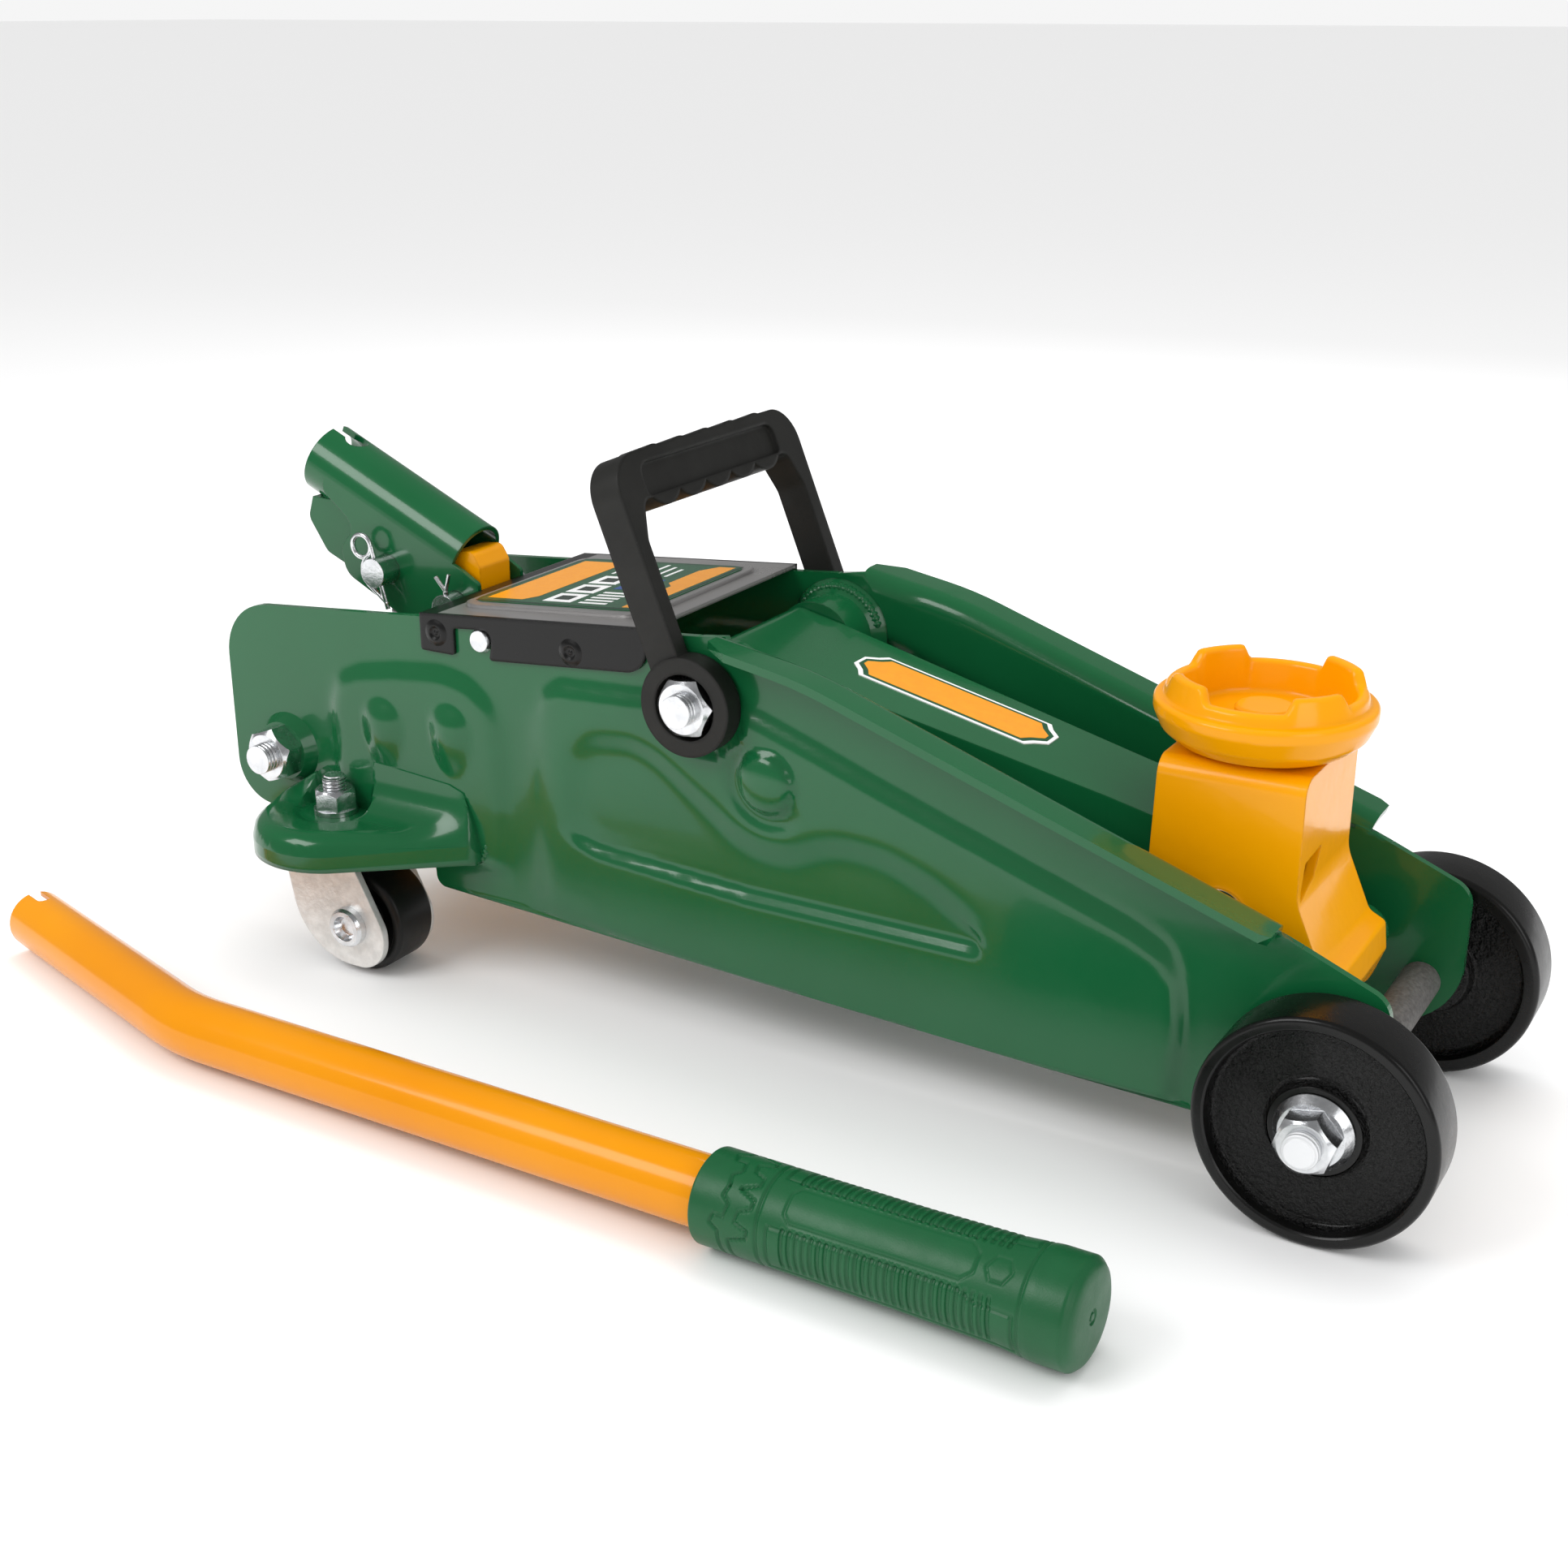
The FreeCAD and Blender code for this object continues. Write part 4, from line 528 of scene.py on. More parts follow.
WEB_OUT, WEB_IN = 44.0, 41.5
PLATE_GRID = 1.5
PIVOT = (-200.0, 112.0)
LINK_REAR = (-175.3, 91.0)
STUD_WALL_R = 6.2

RASTER = 0.5
RASTER_X0, RASTER_Z0 = -400.0, 5.0
RASTER_NX, RASTER_NZ = 840, 280
PANEL_RISE = 2.6
ARCH_RISE = 2.3
STUD_DOME_RISE, STUD_DOME_R = 4.4, 10.2
REAR_DOME_RISE, REAR_DOME_R = 2.9, 9.0
REAR_DOMES = [(-324.0, 84.0), (-295.5, 86.5)]

RAISED_PANEL = [(-261, 30), (-261, 96), (-258, 104), (-252, 108), (-224, 109.5), (-196, 112), (-180, 110),
                (-165, 105), (-135, 94.5), (-86, 78.5), (-60, 70), (-50, 65), (-45.5, 57), (-44, 44),
                (-46, 10)]
POCKET = [(-248, 62), (-247, 86), (-240, 92.5), (-225, 94.5), (-215, 91), (-205, 84), (-196, 78), (-188, 72),
          (-178, 68.5), (-168, 69), (-158, 73.5), (-150, 75.5), (-136, 74.5), (-121, 69), (-110, 62),
          (-104, 55.5), (-106, 52.2), (-178, 52), (-238, 55.8), (-246, 58.5)]
REAR_ARCH = [(-346, 40), (-346, 88), (-343, 96), (-334, 100), (-318, 103), (-299, 105), (-288, 103),
             (-280, 97), (-277, 90), (-276, 76), (-277, 40)]


def rear_top(x):
    """Top edge of the plate behind the lift arm's pivot."""
    return 131.4 + 0.0862 * (x + 204.0)


def front_top(x):
    """Top edge of the plate where it slopes down to the front wheel."""
    return 128.0 - 0.3350 * (x + 158.3)


def blurred(grid, sigma_mm):
    """Gaussian blur, which gives a pressed step its soft slope."""
    sigma = sigma_mm / RASTER
    reach = int(3 * sigma) + 1
    kernel = np.exp(-0.5 * (np.arange(-reach, reach + 1) / sigma) ** 2)
    kernel /= kernel.sum()
    padded = np.pad(grid, reach, mode="edge")
    rows = sum(kernel[k] * padded[k:k + grid.shape[0], :] for k in range(len(kernel)))
    return sum(kernel[k] * rows[:, k:k + grid.shape[1]] for k in range(len(kernel)))


def panel_height(x, z):
    """Raised panel with a soft upper rear side, and the pocket pressed back into it, steep at its foot."""
    panel = inside(closed(RAISED_PANEL), x, z).astype(float)
    soft = np.clip((-236.0 - x) / 12.0, 0, 1) * np.clip((104.0 - z) / 8.0, 0, 1)
    raised = blurred(panel, 1.9) * (1 - soft) + blurred(panel, 4.2) * soft
    pocket = inside(closed(POCKET), x, z).astype(float)
    steep = np.clip((62.0 - z) / 6.0, 0, 1)
    sunk = blurred(pocket, 3.2) * (1 - steep) + blurred(pocket, 1.3) * steep
    return PANEL_RISE * (raised - sunk)


def rear_dome_height(x, z, dome_x, dome_z):
    """Round dome that runs out slowly downward."""
    down = np.where(z < dome_z, (z - dome_z) / 1.8, z - dome_z)
    away = np.hypot(x - dome_x, down) / REAR_DOME_R
    return REAR_DOME_RISE * np.clip(1 - away ** 2, 0, None) ** 1.3


def stud_dome_height(x, z):
    """Steep dome that carries the link's rear stud, with a shallow dip round its lower rear side."""
    away = np.hypot(x - LINK_REAR[0], z - LINK_REAR[1])
    dome = np.sqrt(np.clip(1 - (away / STUD_DOME_R) ** 2, 0, None))
    dome *= np.clip((STUD_DOME_R - away) / 1.5, 0, 1)
    lower_rear = np.clip(((LINK_REAR[0] - x) + (LINK_REAR[1] - z)) / 12.0 + 0.4, 0, 1)
    return STUD_DOME_RISE * dome - 1.2 * np.exp(-((away - 12.6) / 2.4) ** 2) * lower_rear


def pressing_heights():
    """Outward height in mm of the side plate's pressings over the X-Z raster."""
    x, z = np.meshgrid(RASTER_X0 + RASTER * np.arange(RASTER_NX), RASTER_Z0 + RASTER * np.arange(RASTER_NZ),
                       indexing="ij")
    arch = inside(closed(REAR_ARCH), x, z).astype(float)
    height = panel_height(x, z) + ARCH_RISE * blurred(arch, 2.2) + stud_dome_height(x, z)
    for dome_x, dome_z in REAR_DOMES:
        height += rear_dome_height(x, z, dome_x, dome_z)
    by_pivot = np.hypot(x - PIVOT[0], z - PIVOT[1]) < 17.0
    height = np.where(by_pivot, np.minimum(height, 1.3), height)
    flat_above = np.where(x < -160, rear_top(x) - 9, front_top(x) - 10.5)
    below_top = np.clip((flat_above - z) / 5.0, 0, 1)
    behind_nose = np.clip((-22.0 - x) / 12.0, 0, 1)
    return height * below_top * behind_nose


HEIGHTS = pressing_heights()


def pressed(x, z):
    """Height of the pressings at one place, between the raster's points."""
    u = np.clip((x - RASTER_X0) / RASTER, 0, RASTER_NX - 2)
    v = np.clip((z - RASTER_Z0) / RASTER, 0, RASTER_NZ - 2)
    i, j = int(u), int(v)
    a, b = u - i, v - j
    return ((1 - a) * (1 - b) * HEIGHTS[i, j] + a * (1 - b) * HEIGHTS[i + 1, j]
            + (1 - a) * b * HEIGHTS[i, j + 1] + a * b * HEIGHTS[i + 1, j + 1])


def from_stud(v):
    """How far a vertex is from the rear link stud's axis."""
    p = to_mm(v.co)
    return math.hypot(p.x - LINK_REAR[0], p.z - LINK_REAR[1])


def fill_sheet(bm, level):
    """Swap one flat side of the plate for an even grid of small faces; the stud's own wall is left out."""
    flat = [f for f in bm.faces if all(abs(to_mm(v.co).y - level) < 0.02 for v in f.verts)]
    members = set(flat)
    facing = flat[0].normal.y
    border = [e for e in bm.edges if sum(f in members for f in e.link_faces) == 1
              and from_stud(e.verts[0]) > STUD_WALL_R + 0.4]
    used = {v for e in border for v in e.verts}
    verts = [v for v in bm.verts if v in used]
    number = {v: i for i, v in enumerate(verts)}
    ring = [(to_mm(v.co).x, to_mm(v.co).z) for v in verts]
    edges = [(number[e.verts[0]], number[e.verts[1]]) for e in border]
    bmesh.ops.delete(bm, geom=flat, context="FACES_ONLY")

    x, z = grid_points(np.arange(-393.0, 12.0, PLATE_GRID), np.arange(17.0, 140.0, PLATE_GRID))
    outline = [(ring[i], ring[j]) for i, j in edges]
    keep = inside(outline, x, z) & (distance(outline, x, z) > PLATE_GRID * 0.45)
    flat_points = [Vector(p) for p in ring + list(zip(x[keep].tolist(), z[keep].tolist()))]
    places, _, faces, sources, _, _ = delaunay_2d_cdt(flat_points, edges, [], 2, 1e-6)
    made = []
    for place, found in zip(places, sources):
        on_border = found and found[0] < len(verts)
        made.append(verts[found[0]] if on_border else bm.verts.new(at(place.x, level, place.y)))
    for face in faces:
        corners = [made[k] for k in face]
        if len(set(corners)) < 3 or bm.faces.get(corners):
            continue
        new = bm.faces.new(corners)
        new.normal_update()
        if new.normal.y * facing < 0:
            new.normal_flip()


def side_plate(side, sign):
    """The CAD side plate with its pressings pushed outward; sign is -1 on the right."""
    node = "side_plate_" + side
    bm = bmesh.new()
    bm.from_mesh(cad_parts[node].data)
    bmesh.ops.remove_doubles(bm, verts=bm.verts, dist=2e-6)
    for level in (WEB_OUT * sign, WEB_IN * sign):
        fill_sheet(bm, level)
    stud_wall = []
    for f in bm.faces:
        depths = [abs(to_mm(v.co).y) for v in f.verts]
        if max(depths) - min(depths) > 1.0 and all(from_stud(v) < STUD_WALL_R for v in f.verts):
            stud_wall.append(f)
    bmesh.ops.delete(bm, geom=stud_wall, context="FACES_ONLY")
    for v in bm.verts:
        p = to_mm(v.co)
        if WEB_IN - 0.05 < abs(p.y) < WEB_OUT + 0.05:
            v.co.y += sign * pressed(p.x, p.z) * MM
    mesh = bpy.data.meshes.new(node + "_pressed")
    bm.to_mesh(mesh)
    bm.free()
    mesh.materials.clear()
    mesh.materials.append(GREEN_SHEET)
    mesh.shade_smooth()
    mesh.set_sharp_from_angle(angle=math.radians(30))
    obj = bpy.data.objects.new(node + "_pressed", mesh)
    bpy.context.scene.collection.objects.link(obj)
    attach(obj, "chassis")
    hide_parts(node)


# ---- wheels ----

WHEEL_FACE = 65.8
WHEEL_R = 33.0
WHEEL_WIDTH = 18.5
AXLE_HOLE_R = 5.06


def front_wheel(side, sign):
    """Cast wheel: rounded tread, flat rim, rough web, hub boss. sign is -1 on the right."""
    node = "front_wheel_" + side
    centre = at(0, sign * WHEEL_FACE, AXLE_Z)
    back = -WHEEL_WIDTH
    tread = rounded([(28.6, -5.5, 0), (29.2, -0.6, 0.5), (29.8, 0, 0.4), (WHEEL_R, 0, 2.6),
                     (WHEEL_R, back, 2.6), (29.4, back, 0.4), (28.6, back, 0.3), (27.8, back + 4.0, 0)], 6)
    web = rounded([(12.8, -2.6, 0), (13.8, -5.6, 2.2), (28.6, -5.5, 2.0), (28.9, -3.0, 0)], 6)
    boss = rounded([(AXLE_HOLE_R, -12.0, 0), (AXLE_HOLE_R, -2.6, 0), (12.8, -2.6, 1.0), (13.1, -4.0, 0)], 5)
    inner = rounded([(28.4, back + 2.0, 0), (27.2, back + 4.2, 1.0), (13.6, back + 4.0, 1.2),
                     (12.6, back, 1.0), (AXLE_HOLE_R, back, 0), (AXLE_HOLE_R, -12.0, 0)], 5)
    for part, profile, look, stands_for in (("tread", tread, WHEEL, [node]), ("web", web, WEB, ()),
                                            ("boss", boss, WHEEL, ()), ("inner", inner, WEB, ())):
        points, faces = lathe(profile, centre, Vector((0, sign, 0)), 128)
        piece(f"{node}_{part}", points, faces, look, node, stands_for, 40.0, flip=True)


def caster_wheel(side):
    """Turned roller with a sunk web and a hub that stands out a little on both sides."""
    node = "caster_wheel_" + side
    low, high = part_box(node)
    r = (high.z - low.z) / 2 / MM
    h = 8.5
    half = [(3.06, h + 1.4, 0), (6.5, h + 1.4, 0.5), (6.5, h - 4.5, 0.8), (13.6, h - 4.5, 1.2),
            (14.4, h, 0.6), (r, h, 1.6)]
    other = [(radius, -across, corner) for radius, across, corner in half]
    profile = rounded(other + half[::-1] + other[:1], 4)
    points, faces = lathe(profile, (low + high) / 2, Vector((0, 1, 0)), 80)
    piece(node + "_roller", points, faces, ROLLER, node, [node], 40.0, flip=True)


# ---- caster brackets: one smooth pressed sheet each ----

STUD_X, STUD_Y = -341.0, 53.0
NOSE_R = 28.0
TRAY_FRONT_X = -285.0
TRAY_Z = 53.0
SKIRT_Z = 40.5
SHEET = 3.0
SWEEP_R = 13.0
RIM_R = 7.0
SKIRT_ROWS = 3


def tray_outline():
    """Free edge of the bracket from above, from the plate round the nose and back to the plate."""
    end_y = WEB_OUT + 6.0
    to_end = math.atan2(end_y - STUD_Y, TRAY_FRONT_X - STUD_X)
    leave = to_end + math.acos(NOSE_R / math.hypot(TRAY_FRONT_X - STUD_X, end_y - STUD_Y))
    nose = [(STUD_X - NOSE_R, WEB_OUT)]
    for a in np.linspace(math.pi, leave, 25):
        nose.append((STUD_X + NOSE_R * math.cos(a), STUD_Y + NOSE_R * math.sin(a)))
    return nose + rounded([nose[-1] + (0,), (TRAY_FRONT_X, end_y, 5.0), (TRAY_FRONT_X, WEB_OUT, 0)], 5)[1:]


def tray_height(x, y, outline):
    """Top of the sheet: rounded rim, sweep up to the flange on the plate, flat seat under the nut."""
    flange = np.interp(x, [-367.0, -344.0, -338.0, -297.0, -291.0, -286.5, -285.0],
                       [TRAY_Z, 69.0, 70.8, 68.0, 66.0, 57.0, TRAY_Z])
    out = np.clip(y - WEB_OUT - SHEET, 0, SWEEP_R)
    sweep = SWEEP_R - np.sqrt(SWEEP_R ** 2 - (SWEEP_R - out) ** 2)
    height = TRAY_Z + np.minimum(sweep, flange - TRAY_Z)
    on_flange = y < WEB_OUT + SHEET - 0.1
    height = np.where(on_flange, flange - 0.5 * smooth_step(y, WEB_OUT + 1.5, WEB_OUT + SHEET), height)
    inward = np.clip(distance(stretches(outline), x, y), 0, RIM_R)
    height = height - (RIM_R - np.sqrt(RIM_R ** 2 - (RIM_R - inward) ** 2))
    seat = 1 - smooth_step(np.hypot(x - STUD_X, y - STUD_Y), 12.4, 13.8)
    return height + seat * (TRAY_Z - 1.2 - height)


def skirt_low(x):
    """Lower edge of the skirt, with a shallow arch near the front."""
    return float(SKIRT_Z + 3.6 * np.clip(1 - np.abs(x + 296.0) / 20.0, 0, 1))


def bracket_sheet(sign):
    """Top of the tray as an even grid cut by its outline, and the skirt that hangs from the whole edge."""
    outline = tray_outline()
    ring = outline + [(x, WEB_OUT) for x in np.arange(TRAY_FRONT_X - 1.5, STUD_X - NOSE_R + 1.0, -1.5)]
    count = len(ring)
    spacing = 1.0
    near_plate = WEB_OUT + np.array([1.2, 2.2, 2.8, 3.15, 3.6, 4.2, 5.0])
    from_plate = np.concatenate([near_plate, np.arange(50.0, 80.5, spacing)])
    x, y = grid_points(np.arange(-368.0, -285.5, spacing), from_plate)
    keep = inside(closed(ring), x, y) & (distance(closed(ring), x, y) > 0.45)
    flat = [Vector(p) for p in ring + list(zip(x[keep].tolist(), y[keep].tolist()))]
    edges = [(k, (k + 1) % count) for k in range(count)]
    places, _, cut, sources, _, _ = delaunay_2d_cdt(flat, edges, [], 1, 1e-6)
    px, py = np.array([tuple(p) for p in places]).T
    pz = tray_height(px, py, outline)
    points = [at(a, sign * b, c) for a, b, c in zip(px, py, pz)]
    faces = [tuple(f) for f in cut]
    upper = [None] * count
    for index, found in enumerate(sources):
        for k in found:
            if k < count:
                upper[k] = index
    tops = [pz[k] for k in upper]
    for row in range(1, SKIRT_ROWS + 1):
        lower = list(range(len(points), len(points) + count))
        for (a, b), top in zip(ring, tops):
            points.append(at(a, sign * b, top + (skirt_low(a) - top) * row / SKIRT_ROWS))
        for k in range(count):
            j = (k + 1) % count
            faces.append((upper[k], lower[k], lower[j], upper[j]))
        upper = lower
    return points, faces


def caster_bracket(side, sign):
    """The bracket's sheet, its outside facing up and out, thickened inward."""
    node = "caster_bracket_" + side
    points, faces = bracket_sheet(sign)
    tray = piece(node + "_sheet", points, faces, GREEN_SHEET, "chassis", [node], 50.0)
    bm = bmesh.new()
    bm.from_mesh(tray.data)
    bmesh.ops.recalc_face_normals(bm, faces=bm.faces)
    under_nut = min(bm.verts, key=lambda v: (v.co - at(STUD_X, sign * STUD_Y, TRAY_Z)).length)
    if under_nut.normal.z < 0:
        bmesh.ops.reverse_faces(bm, faces=bm.faces)
    bm.to_mesh(tray.data)
    bm.free()
    solid = tray.modifiers.new("sheet", "SOLIDIFY")
    solid.thickness = (SHEET - 0.2) * MM
    solid.offset = -1.0


# ---- saddle ----

SADDLE_X = -41.5


def saddle_profile(lug):
    """Section of the cup in mm; lug runs from 0 between the lugs to 1 at a lug's middle."""
    low = 113.4
    top = 130.4 + 4.2 * lug
    lean = 0.8 * lug
    return rounded([(6.1, low, 0), (19.0, low, 1.5), (24.2, low + 1.2, 3.0), (28.6, low + 4.8, 4.0),
                    (30.9, low + 10.0, 3.0), (30.9, 127.0, 1.6), (28.2, 127.2, 0.9), (27.5 - lean, top, 1.5),
                    (24.4 - lean, top, 1.5), (23.0, 120.9, 1.6), (6.1, 120.6, 0)], 5)


def saddle_cup():
    """Round cup with four lugs on its rim."""
    steps = 180
    points, faces = [], []
    for k in range(steps):
        turn = 2 * math.pi * k / steps
        from_lug = (math.degrees(turn) - 50.0 + 45.0) % 90.0 - 45.0
        lug = float(1 - smooth_step(abs(from_lug), 15.0, 22.0))
        for r, z in saddle_profile(lug):
            points.append(at(SADDLE_X + r * math.cos(turn), r * math.sin(turn), z))
    rings = len(saddle_profile(0.0))
    for k in range(steps):
        j = (k + 1) % steps
        for i in range(rings - 1):
            faces.append((k * rings + i, j * rings + i, j * rings + i + 1, k * rings + i + 1))
    piece("saddle_cup", points, faces, ORANGE, "saddle", ["saddle"], 50.0)


# ---- springs, coiled between two fixed places ----

def coil(name, axis, radius, wire, turns, centres, stands_for):
    """Coil springs with flat ends between each pair of places in mm, from the first place to the second."""
    around = 8
    steps = turns * 24
    points, faces = [], []
    for start, stop in centres:
        start, stop = Vector(start), Vector(stop)
        first = (stop - start).orthogonal().normalized()
        second = axis.cross(first)
        base = len(points)
        for i in range(steps + 1):
            turn = 2 * math.pi * turns * i / steps
            level = min(max((turns * i / steps - 0.75) / (turns - 1.5), 0.0), 1.0)
            outward = first * math.cos(turn) + second * math.sin(turn)
            middle = start.lerp(stop, level) + outward * radius
            for k in range(around):
                a = 2 * math.pi * k / around
                points.append(at(*(middle + outward * (wire * math.cos(a)) + axis * (wire * math.sin(a)))))
        faces += hoops(steps + 1, around, base)
        faces.append(tuple(range(base, base + around)))
        faces.append(tuple(range(len(points) - around, len(points))))
    obj = add_mesh(name, points, faces, STEEL)
    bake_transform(obj)
    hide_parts(stands_for)


def springs():
    low, high = [to_mm(p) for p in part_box("plunger_spring")]
    x = (low.x + high.x) / 2
    coil("plunger_coil", Vector((0, 0, 1)), 6.6, 0.85, 8, [((x, 0, low.z + 0.9), (x, 0, high.z - 0.9))],
         "plunger_spring")
    low, high = [to_mm(p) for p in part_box("return_springs")]
    z = (low.z + high.z) / 2
    radius, wire = 3.6, 0.65
    side = high.y - radius - 0.7
    pair = [((low.x + 0.7, y, z), (high.x - 0.7, y, z)) for y in (-side, side)]
    coil("return_coils", Vector((1, 0, 0)), radius, wire, 16, pair, "return_springs")


# ---- loose handle's grip ----

HANDLE_BEND = (-330.3, -137.4, 11.2)
HANDLE_SKEW = -0.0194
GRIP_REAR_X, GRIP_FRONT_X = -135.0, -27.0
GRIP_FRONT_Z = 14.62
GRIP_MEAN_R = 13.5
GRIP_BORE_R = 10.05
GRIP_PANEL_DEG = 52.0


def groove(line, s, v, half_width, depth):
    """Cut along a line of (s, v) points; the result is a height, so it's negative."""
    return -depth * np.clip(1.3 - distance(stretches(line), s, v) / half_width, 0, 1)


def grip_relief(s, v):
    """Moulded relief over the grip: s along it, v round it in mm from the middle of the smooth panel."""
    side = np.abs(v)
    ribbed = (s > 28) & (s < 88) & (side > 6.2) & (side < 19.5)
    fade = np.clip((side - 6.2) / 0.8, 0, 1) * np.clip((19.5 - side) / 0.8, 0, 1)
    ribs = 0.5 + 0.5 * np.tanh(3.0 * np.sin(2 * np.pi * s / 2.15))
    height = -np.where(ribbed, 0.55 * ribs * fade, 0)
    panel_edge = [(30, -5.2), (78, -5.2), (81, -2.5), (81, 2.5), (78, 5.2), (30, 5.2), (28, 3.0), (28, -3.0),
                  (30, -5.2)]
    height += groove(panel_edge, s, v, 0.45, 0.35)
    for way in (1, -1):
        rib_edge = [(24, way * 20.8), (24, way * 7.4), (27, way * 7.4), (78, way * 7.4), (83, way * 9.5),
                    (93, way * 9.5), (93, way * 20.8), (24, way * 20.8)]
        first_zigzag = [(9.5, way * 24), (9.5, way * 13), (7.0, way * 11), (8.0, way * 8.5),
                        (11.0, way * 8.5), (12.0, way * 5.0), (9.8, way * 3.0), (10.6, 0)]
        second_zigzag = [(12.5, way * 24), (12.5, way * 15), (18.0, way * 13), (18.5, way * 10.5),
                         (14.5, way * 9.0), (15.2, way * 6.0), (18.6, way * 4.6), (18.9, way * 2.2),
                         (14.0, 0)]
        height += groove(rib_edge, s, v, 0.5, 0.45)
        height += groove(first_zigzag, s, v, 0.5, 0.55)
        height += groove(second_zigzag, s, v, 0.5, 0.55)
    height += groove([(21.0, -99), (21.0, 99)], s, v, 0.6, 0.5)
    height += groove([(94.5, -99), (94.5, 99)], s, v, 0.5, 0.35)
    hexagon = [(87.2 + 3.6 * math.cos(k * math.pi / 3), 3.6 * math.sin(k * math.pi / 3)) for k in range(7)]
    height += groove(hexagon, s, v, 0.4, 0.3)
    under = np.clip((side - 25.0) / 6.0, 0, 1) * ((s > 20) & (s < 95))
    return height - under * 0.5 * (0.5 - 0.5 * np.cos(2 * np.pi * (s - 20.0) / 15.0))


def pump_grip():
    """Moulded grip over the loose handle's end: fine relief outside, closed front end, bore edge behind."""
    bend = at(*HANDLE_BEND)
    end = at(GRIP_FRONT_X, HANDLE_BEND[1] + HANDLE_SKEW * (GRIP_FRONT_X - HANDLE_BEND[0]), GRIP_FRONT_Z)
    along = (end - bend).normalized()
    start = end - along * ((GRIP_FRONT_X - GRIP_REAR_X) * MM)
    length = (end - start).length / MM
    across = along.cross(Vector((0, 0, 1))).normalized()
    up = across.cross(along).normalized()
    rows, around = 440, 168
    angles = 2 * np.pi * np.arange(around) / around
    spokes = [across * math.cos(a) + up * math.sin(a) for a in angles]

    def ring(distance_mm, radii):
        middle = start + along * (distance_mm * MM)
        return [middle + spoke * (float(r) * MM) for spoke, r in zip(spokes, radii)]

    profile = rounded([(0, 12.4, 0), (0.6, 13.2, 0.5), (60.0, 13.2, 20.0), (88.0, 13.7, 10.0),
                       (97.0, 14.5, 6.0), (length - 2.5, 14.5, 1.5), (length, 12.0, 0)], 5)
    profile_s, profile_r = np.array(profile).T
    s = np.linspace(0, length - 0.9, rows)
    radius = np.interp(s, profile_s, profile_r)
    from_panel = np.radians((np.degrees(angles) - GRIP_PANEL_DEG + 180) % 360 - 180) * GRIP_MEAN_R
    relief = grip_relief(*np.meshgrid(s, from_panel, indexing="ij"))
    points = []
    for i in range(rows):
        points += ring(s[i], radius[i] + relief[i])
    closing = [(length - 0.35, radius[-1] - 1.2), (length, radius[-1] - 3.0), (length, 2.2),
               (length - 0.4, 1.8), (length - 0.4, 1.2), (length, 0.9), (length, 0.0)]
    for distance_mm, r in closing:
        points += ring(distance_mm, [r] * around)
    faces = hoops(rows + len(closing), around)
    bore = len(points)
    points += ring(0.0, [GRIP_BORE_R] * around)
    for k in range(around):
        j = (k + 1) % around
        faces.append((bore + k, bore + j, j, k))
    piece("pump_grip_moulded", points, faces, GRIP, "pump_handle", ["pump_handle_grip"], 38.0)


# ---- printed labels ----

BADGE_Y = 3.0
LABEL = 0.3
COVER_GAP, COVER_SHEET, COVER_PAD = 0.3, 1.3, 1.2
INK = 0.06
FIRST_PRINT, SECOND_PRINT, THIRD_PRINT = 0.08, 0.12, 0.16


def arm_label_top(x):
    return 78.0 - 0.224 * x + LABEL


def cover_label_top(x):
    return rear_top(x) + COVER_GAP + COVER_SHEET + COVER_PAD + LABEL


def decal(name, outline, surface, lift, material, body):
    """Thin printed patch: outline of (x, y) in mm laid on surface(x), lifted clear of what is under it."""
    count = len(outline)
    low = [at(x, y, surface(x) + lift - INK) for x, y in outline]
    top = [at(x, y, surface(x) + lift) for x, y in outline]
    faces = [tuple(range(count, 2 * count))]
    faces += [(k, (k + 1) % count, count + (k + 1) % count, count + k) for k in range(count)]
    piece(name, low + top, faces, material, body)


def badge_outline(inset):
    """Plate on the arm with stepped ends, drawn in by inset mm."""
    x0, x1 = -171.5 + inset, -105.5 - inset
    half = 10.0 - inset
    step = 3.2
    line = [(x0, 2 * step - half), (x0 + step, step - half), (x0 + 1.6 * step, -half)]
    line += [(x1 - 1.6 * step, -half), (x1 - step, step - half), (x1, 2 * step - half)]
    line += [(x, -y) for x, y in line[::-1]]
    return [(x, y + BADGE_Y) for x, y in line]


def cover_print(name, outline, material, lift):
    decal(name, outline, cover_label_top, lift, material, "chassis")


def cover_patch(name, x0, x1, y0, y1, material, lift=SECOND_PRINT):
    cover_print(name, [(x0, y0), (x1, y0), (x1, y1), (x0, y1)], material, lift)


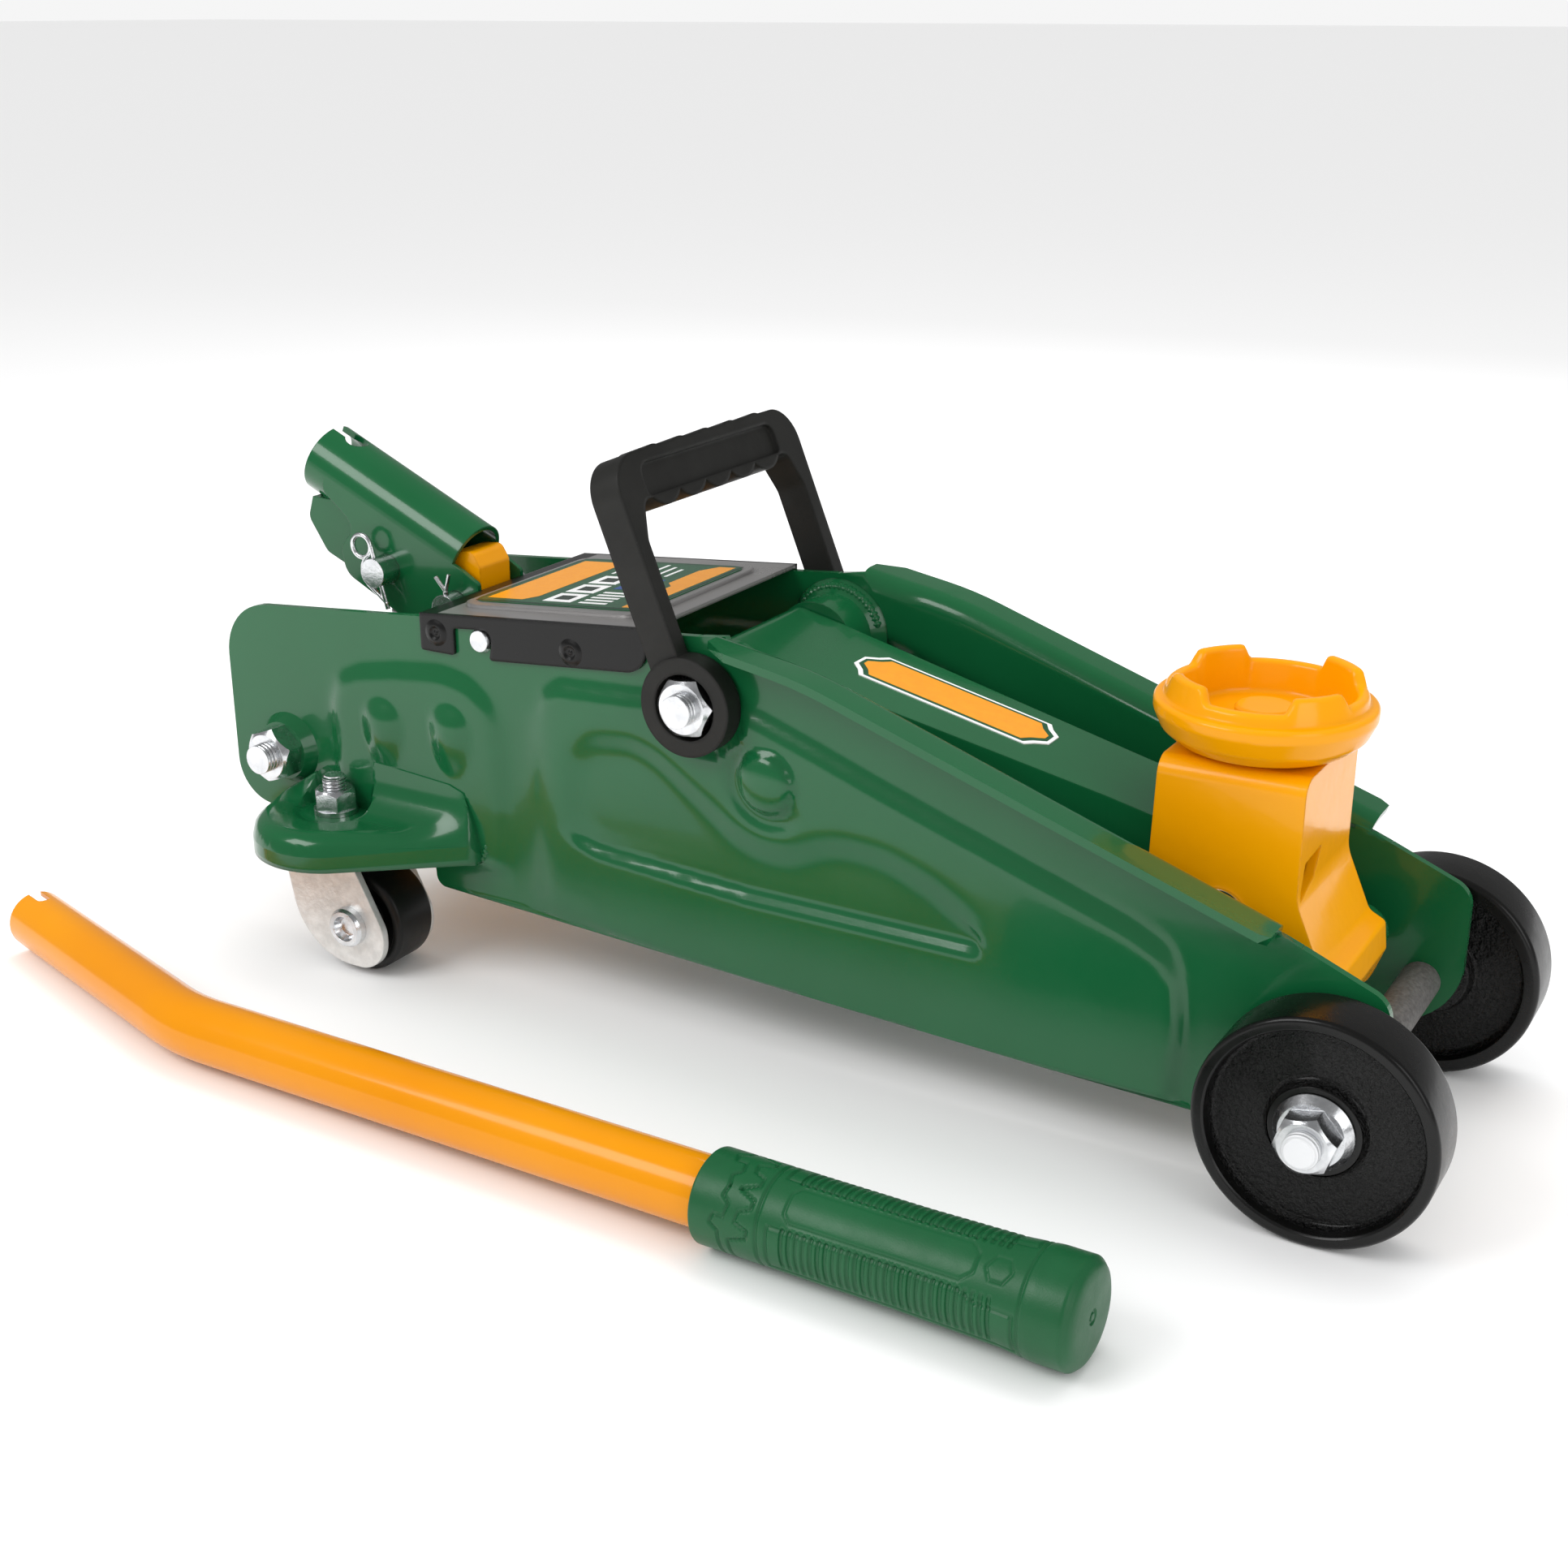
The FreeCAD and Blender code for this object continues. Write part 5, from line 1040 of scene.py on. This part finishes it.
def labels():
    """Plain badge on the arm; on the cover a bordered field with banners, tiles, bars and rules."""
    decal("badge_border", badge_outline(1.1), arm_label_top, FIRST_PRINT, PRINT_GREEN, "lift_arm")
    decal("badge_panel", badge_outline(2.3), arm_label_top, 0.14, PRINT_ORANGE, "lift_arm")
    cover_patch("cover_border", -294.6, -230.4, -30.6, 30.6, PRINT_DARK, 0.05)
    cover_patch("cover_field", -293.8, -231.2, -29.8, 29.8, PRINT_GREEN, FIRST_PRINT)
    cover_print("cover_banner", [(-292.4, -27), (-278.5, -27), (-275.5, -22), (-275.5, 22), (-278.5, 27),
                                 (-292.4, 27)], PRINT_ORANGE, SECOND_PRINT)
    cover_print("cover_foot_banner", [(-238.6, -28.6), (-232.4, -28.6), (-232.4, 28.6), (-238.6, 28.6),
                                      (-242.6, 22), (-242.6, 4), (-239.2, 0), (-239.2, -10)],
                PRINT_ORANGE, SECOND_PRINT)
    for k in range(3):
        y = -27 + 12.5 * k
        cover_patch(f"cover_tile_{k}", -270.5, -259.5, y, y + 10.5, PRINT_WHITE)
        cover_patch(f"cover_tile_mark_{k}", -268.0, -262.0, y + 2.6, y + 7.9, PRINT_DARK, THIRD_PRINT)
    for k in range(5):
        y = -27 + 3.4 * k
        cover_patch(f"cover_bar_{k}", -256.5, -246.0, y, y + 1.6, PRINT_WHITE)
    for k in range(6):
        x = -271 + 4.2 * k
        cover_patch(f"cover_rule_{k}", x, x + 1.2, 12, 27.5 - 2.5 * (k % 3), PRINT_WHITE)
    cover_patch("cover_stripe", -256.5, -246.0, -7.5, 7.5, PRINT_BLUE)
    cover_patch("cover_stripe_mark", -253.5, -249.0, -4.5, 4.5, PRINT_WHITE, THIRD_PRINT)


# ---- small pressed and welded details ----

FLAP_FACE = 45.3
WELD_RIPPLE = 1.6


def flap_rivets():
    """Pressed rivets on the cover's side flaps."""
    profile = rounded([(4.4, 0.0, 0), (3.4, 0.45, 0.8), (2.3, 0.75, 0.5), (1.7, 0.1, 0.4), (0.9, -0.05, 0.3),
                       (0.5, 0.35, 0.2), (0.0, 0.4, 0)], 3)
    for side, sign in SIDES:
        for number, (x, z) in enumerate(((-299.5, 118.5), (-246.5, 120.0))):
            points, faces = lathe(profile, at(x, sign * FLAP_FACE, z), Vector((0, sign, 0)), 40)
            piece(f"flap_rivet_{side}_{number}", points, faces, FLAP, "chassis")


def weld_bead(name, line, radius):
    """Rippled weld on the chassis along a line of points in mm."""
    samples = []
    for a, b in stretches([Vector(p) for p in line]):
        count = max(2, int((b - a).length / (WELD_RIPPLE / 4)))
        samples += [a.lerp(b, k / count) for k in range(count)]
    samples.append(Vector(line[-1]))
    last = len(samples) - 1
    around = 10
    points = []
    travelled = 0.0
    for i, p in enumerate(samples):
        before = samples[max(i - 1, 0)]
        ahead = (samples[min(i + 1, last)] - before).normalized()
        sideways = ahead.cross(Vector((0, 1, 0))).normalized()
        upward = sideways.cross(ahead)
        travelled += (p - before).length
        taper = min(1.0, 0.25 + min(i, last - i) * 0.3)
        ripple = 1 + 0.14 * math.sin(2 * math.pi * travelled / WELD_RIPPLE) + 0.05 * math.sin(travelled * 1.7)
        r = radius * taper * ripple
        for k in range(around):
            a = 2 * math.pi * k / around
            points.append(at(*(p + sideways * (r * math.cos(a)) + upward * (r * math.sin(a)))))
    faces = hoops(len(samples), around)
    faces.append(tuple(range(around)))
    faces.append(tuple(range(len(points) - around, len(points))))
    piece(name, points, faces, GREEN, "chassis", sharp_deg=80.0)


def welds():
    boss_r = 15.2
    for side, sign in SIDES:
        weld_bead("bracket_weld_" + side, [(-286.0, sign * 45.0, 42.0), (-283.5, sign * 45.0, 46.5),
                                           (-283.2, sign * 44.8, 50.0)], 1.7)
        ring = [(PIVOT[0] + boss_r * math.cos(a), sign * 40.4, PIVOT[1] + boss_r * math.sin(a))
                for a in np.linspace(0.2, 2.9, 14)]
        weld_bead("boss_weld_" + side, ring, 1.8)


make_camera()
make_world()
make_lights()
make_floor()
for look, nodes in CAD_LOOKS:
    for node in nodes:
        dress(node, look)
for side, sign in SIDES:
    side_plate(side, sign)
for side, sign in SIDES:
    front_wheel(side, sign)
    caster_wheel(side)
    caster_bracket(side, sign)
saddle_cup()
springs()
pump_grip()
labels()
flap_rivets()
welds()
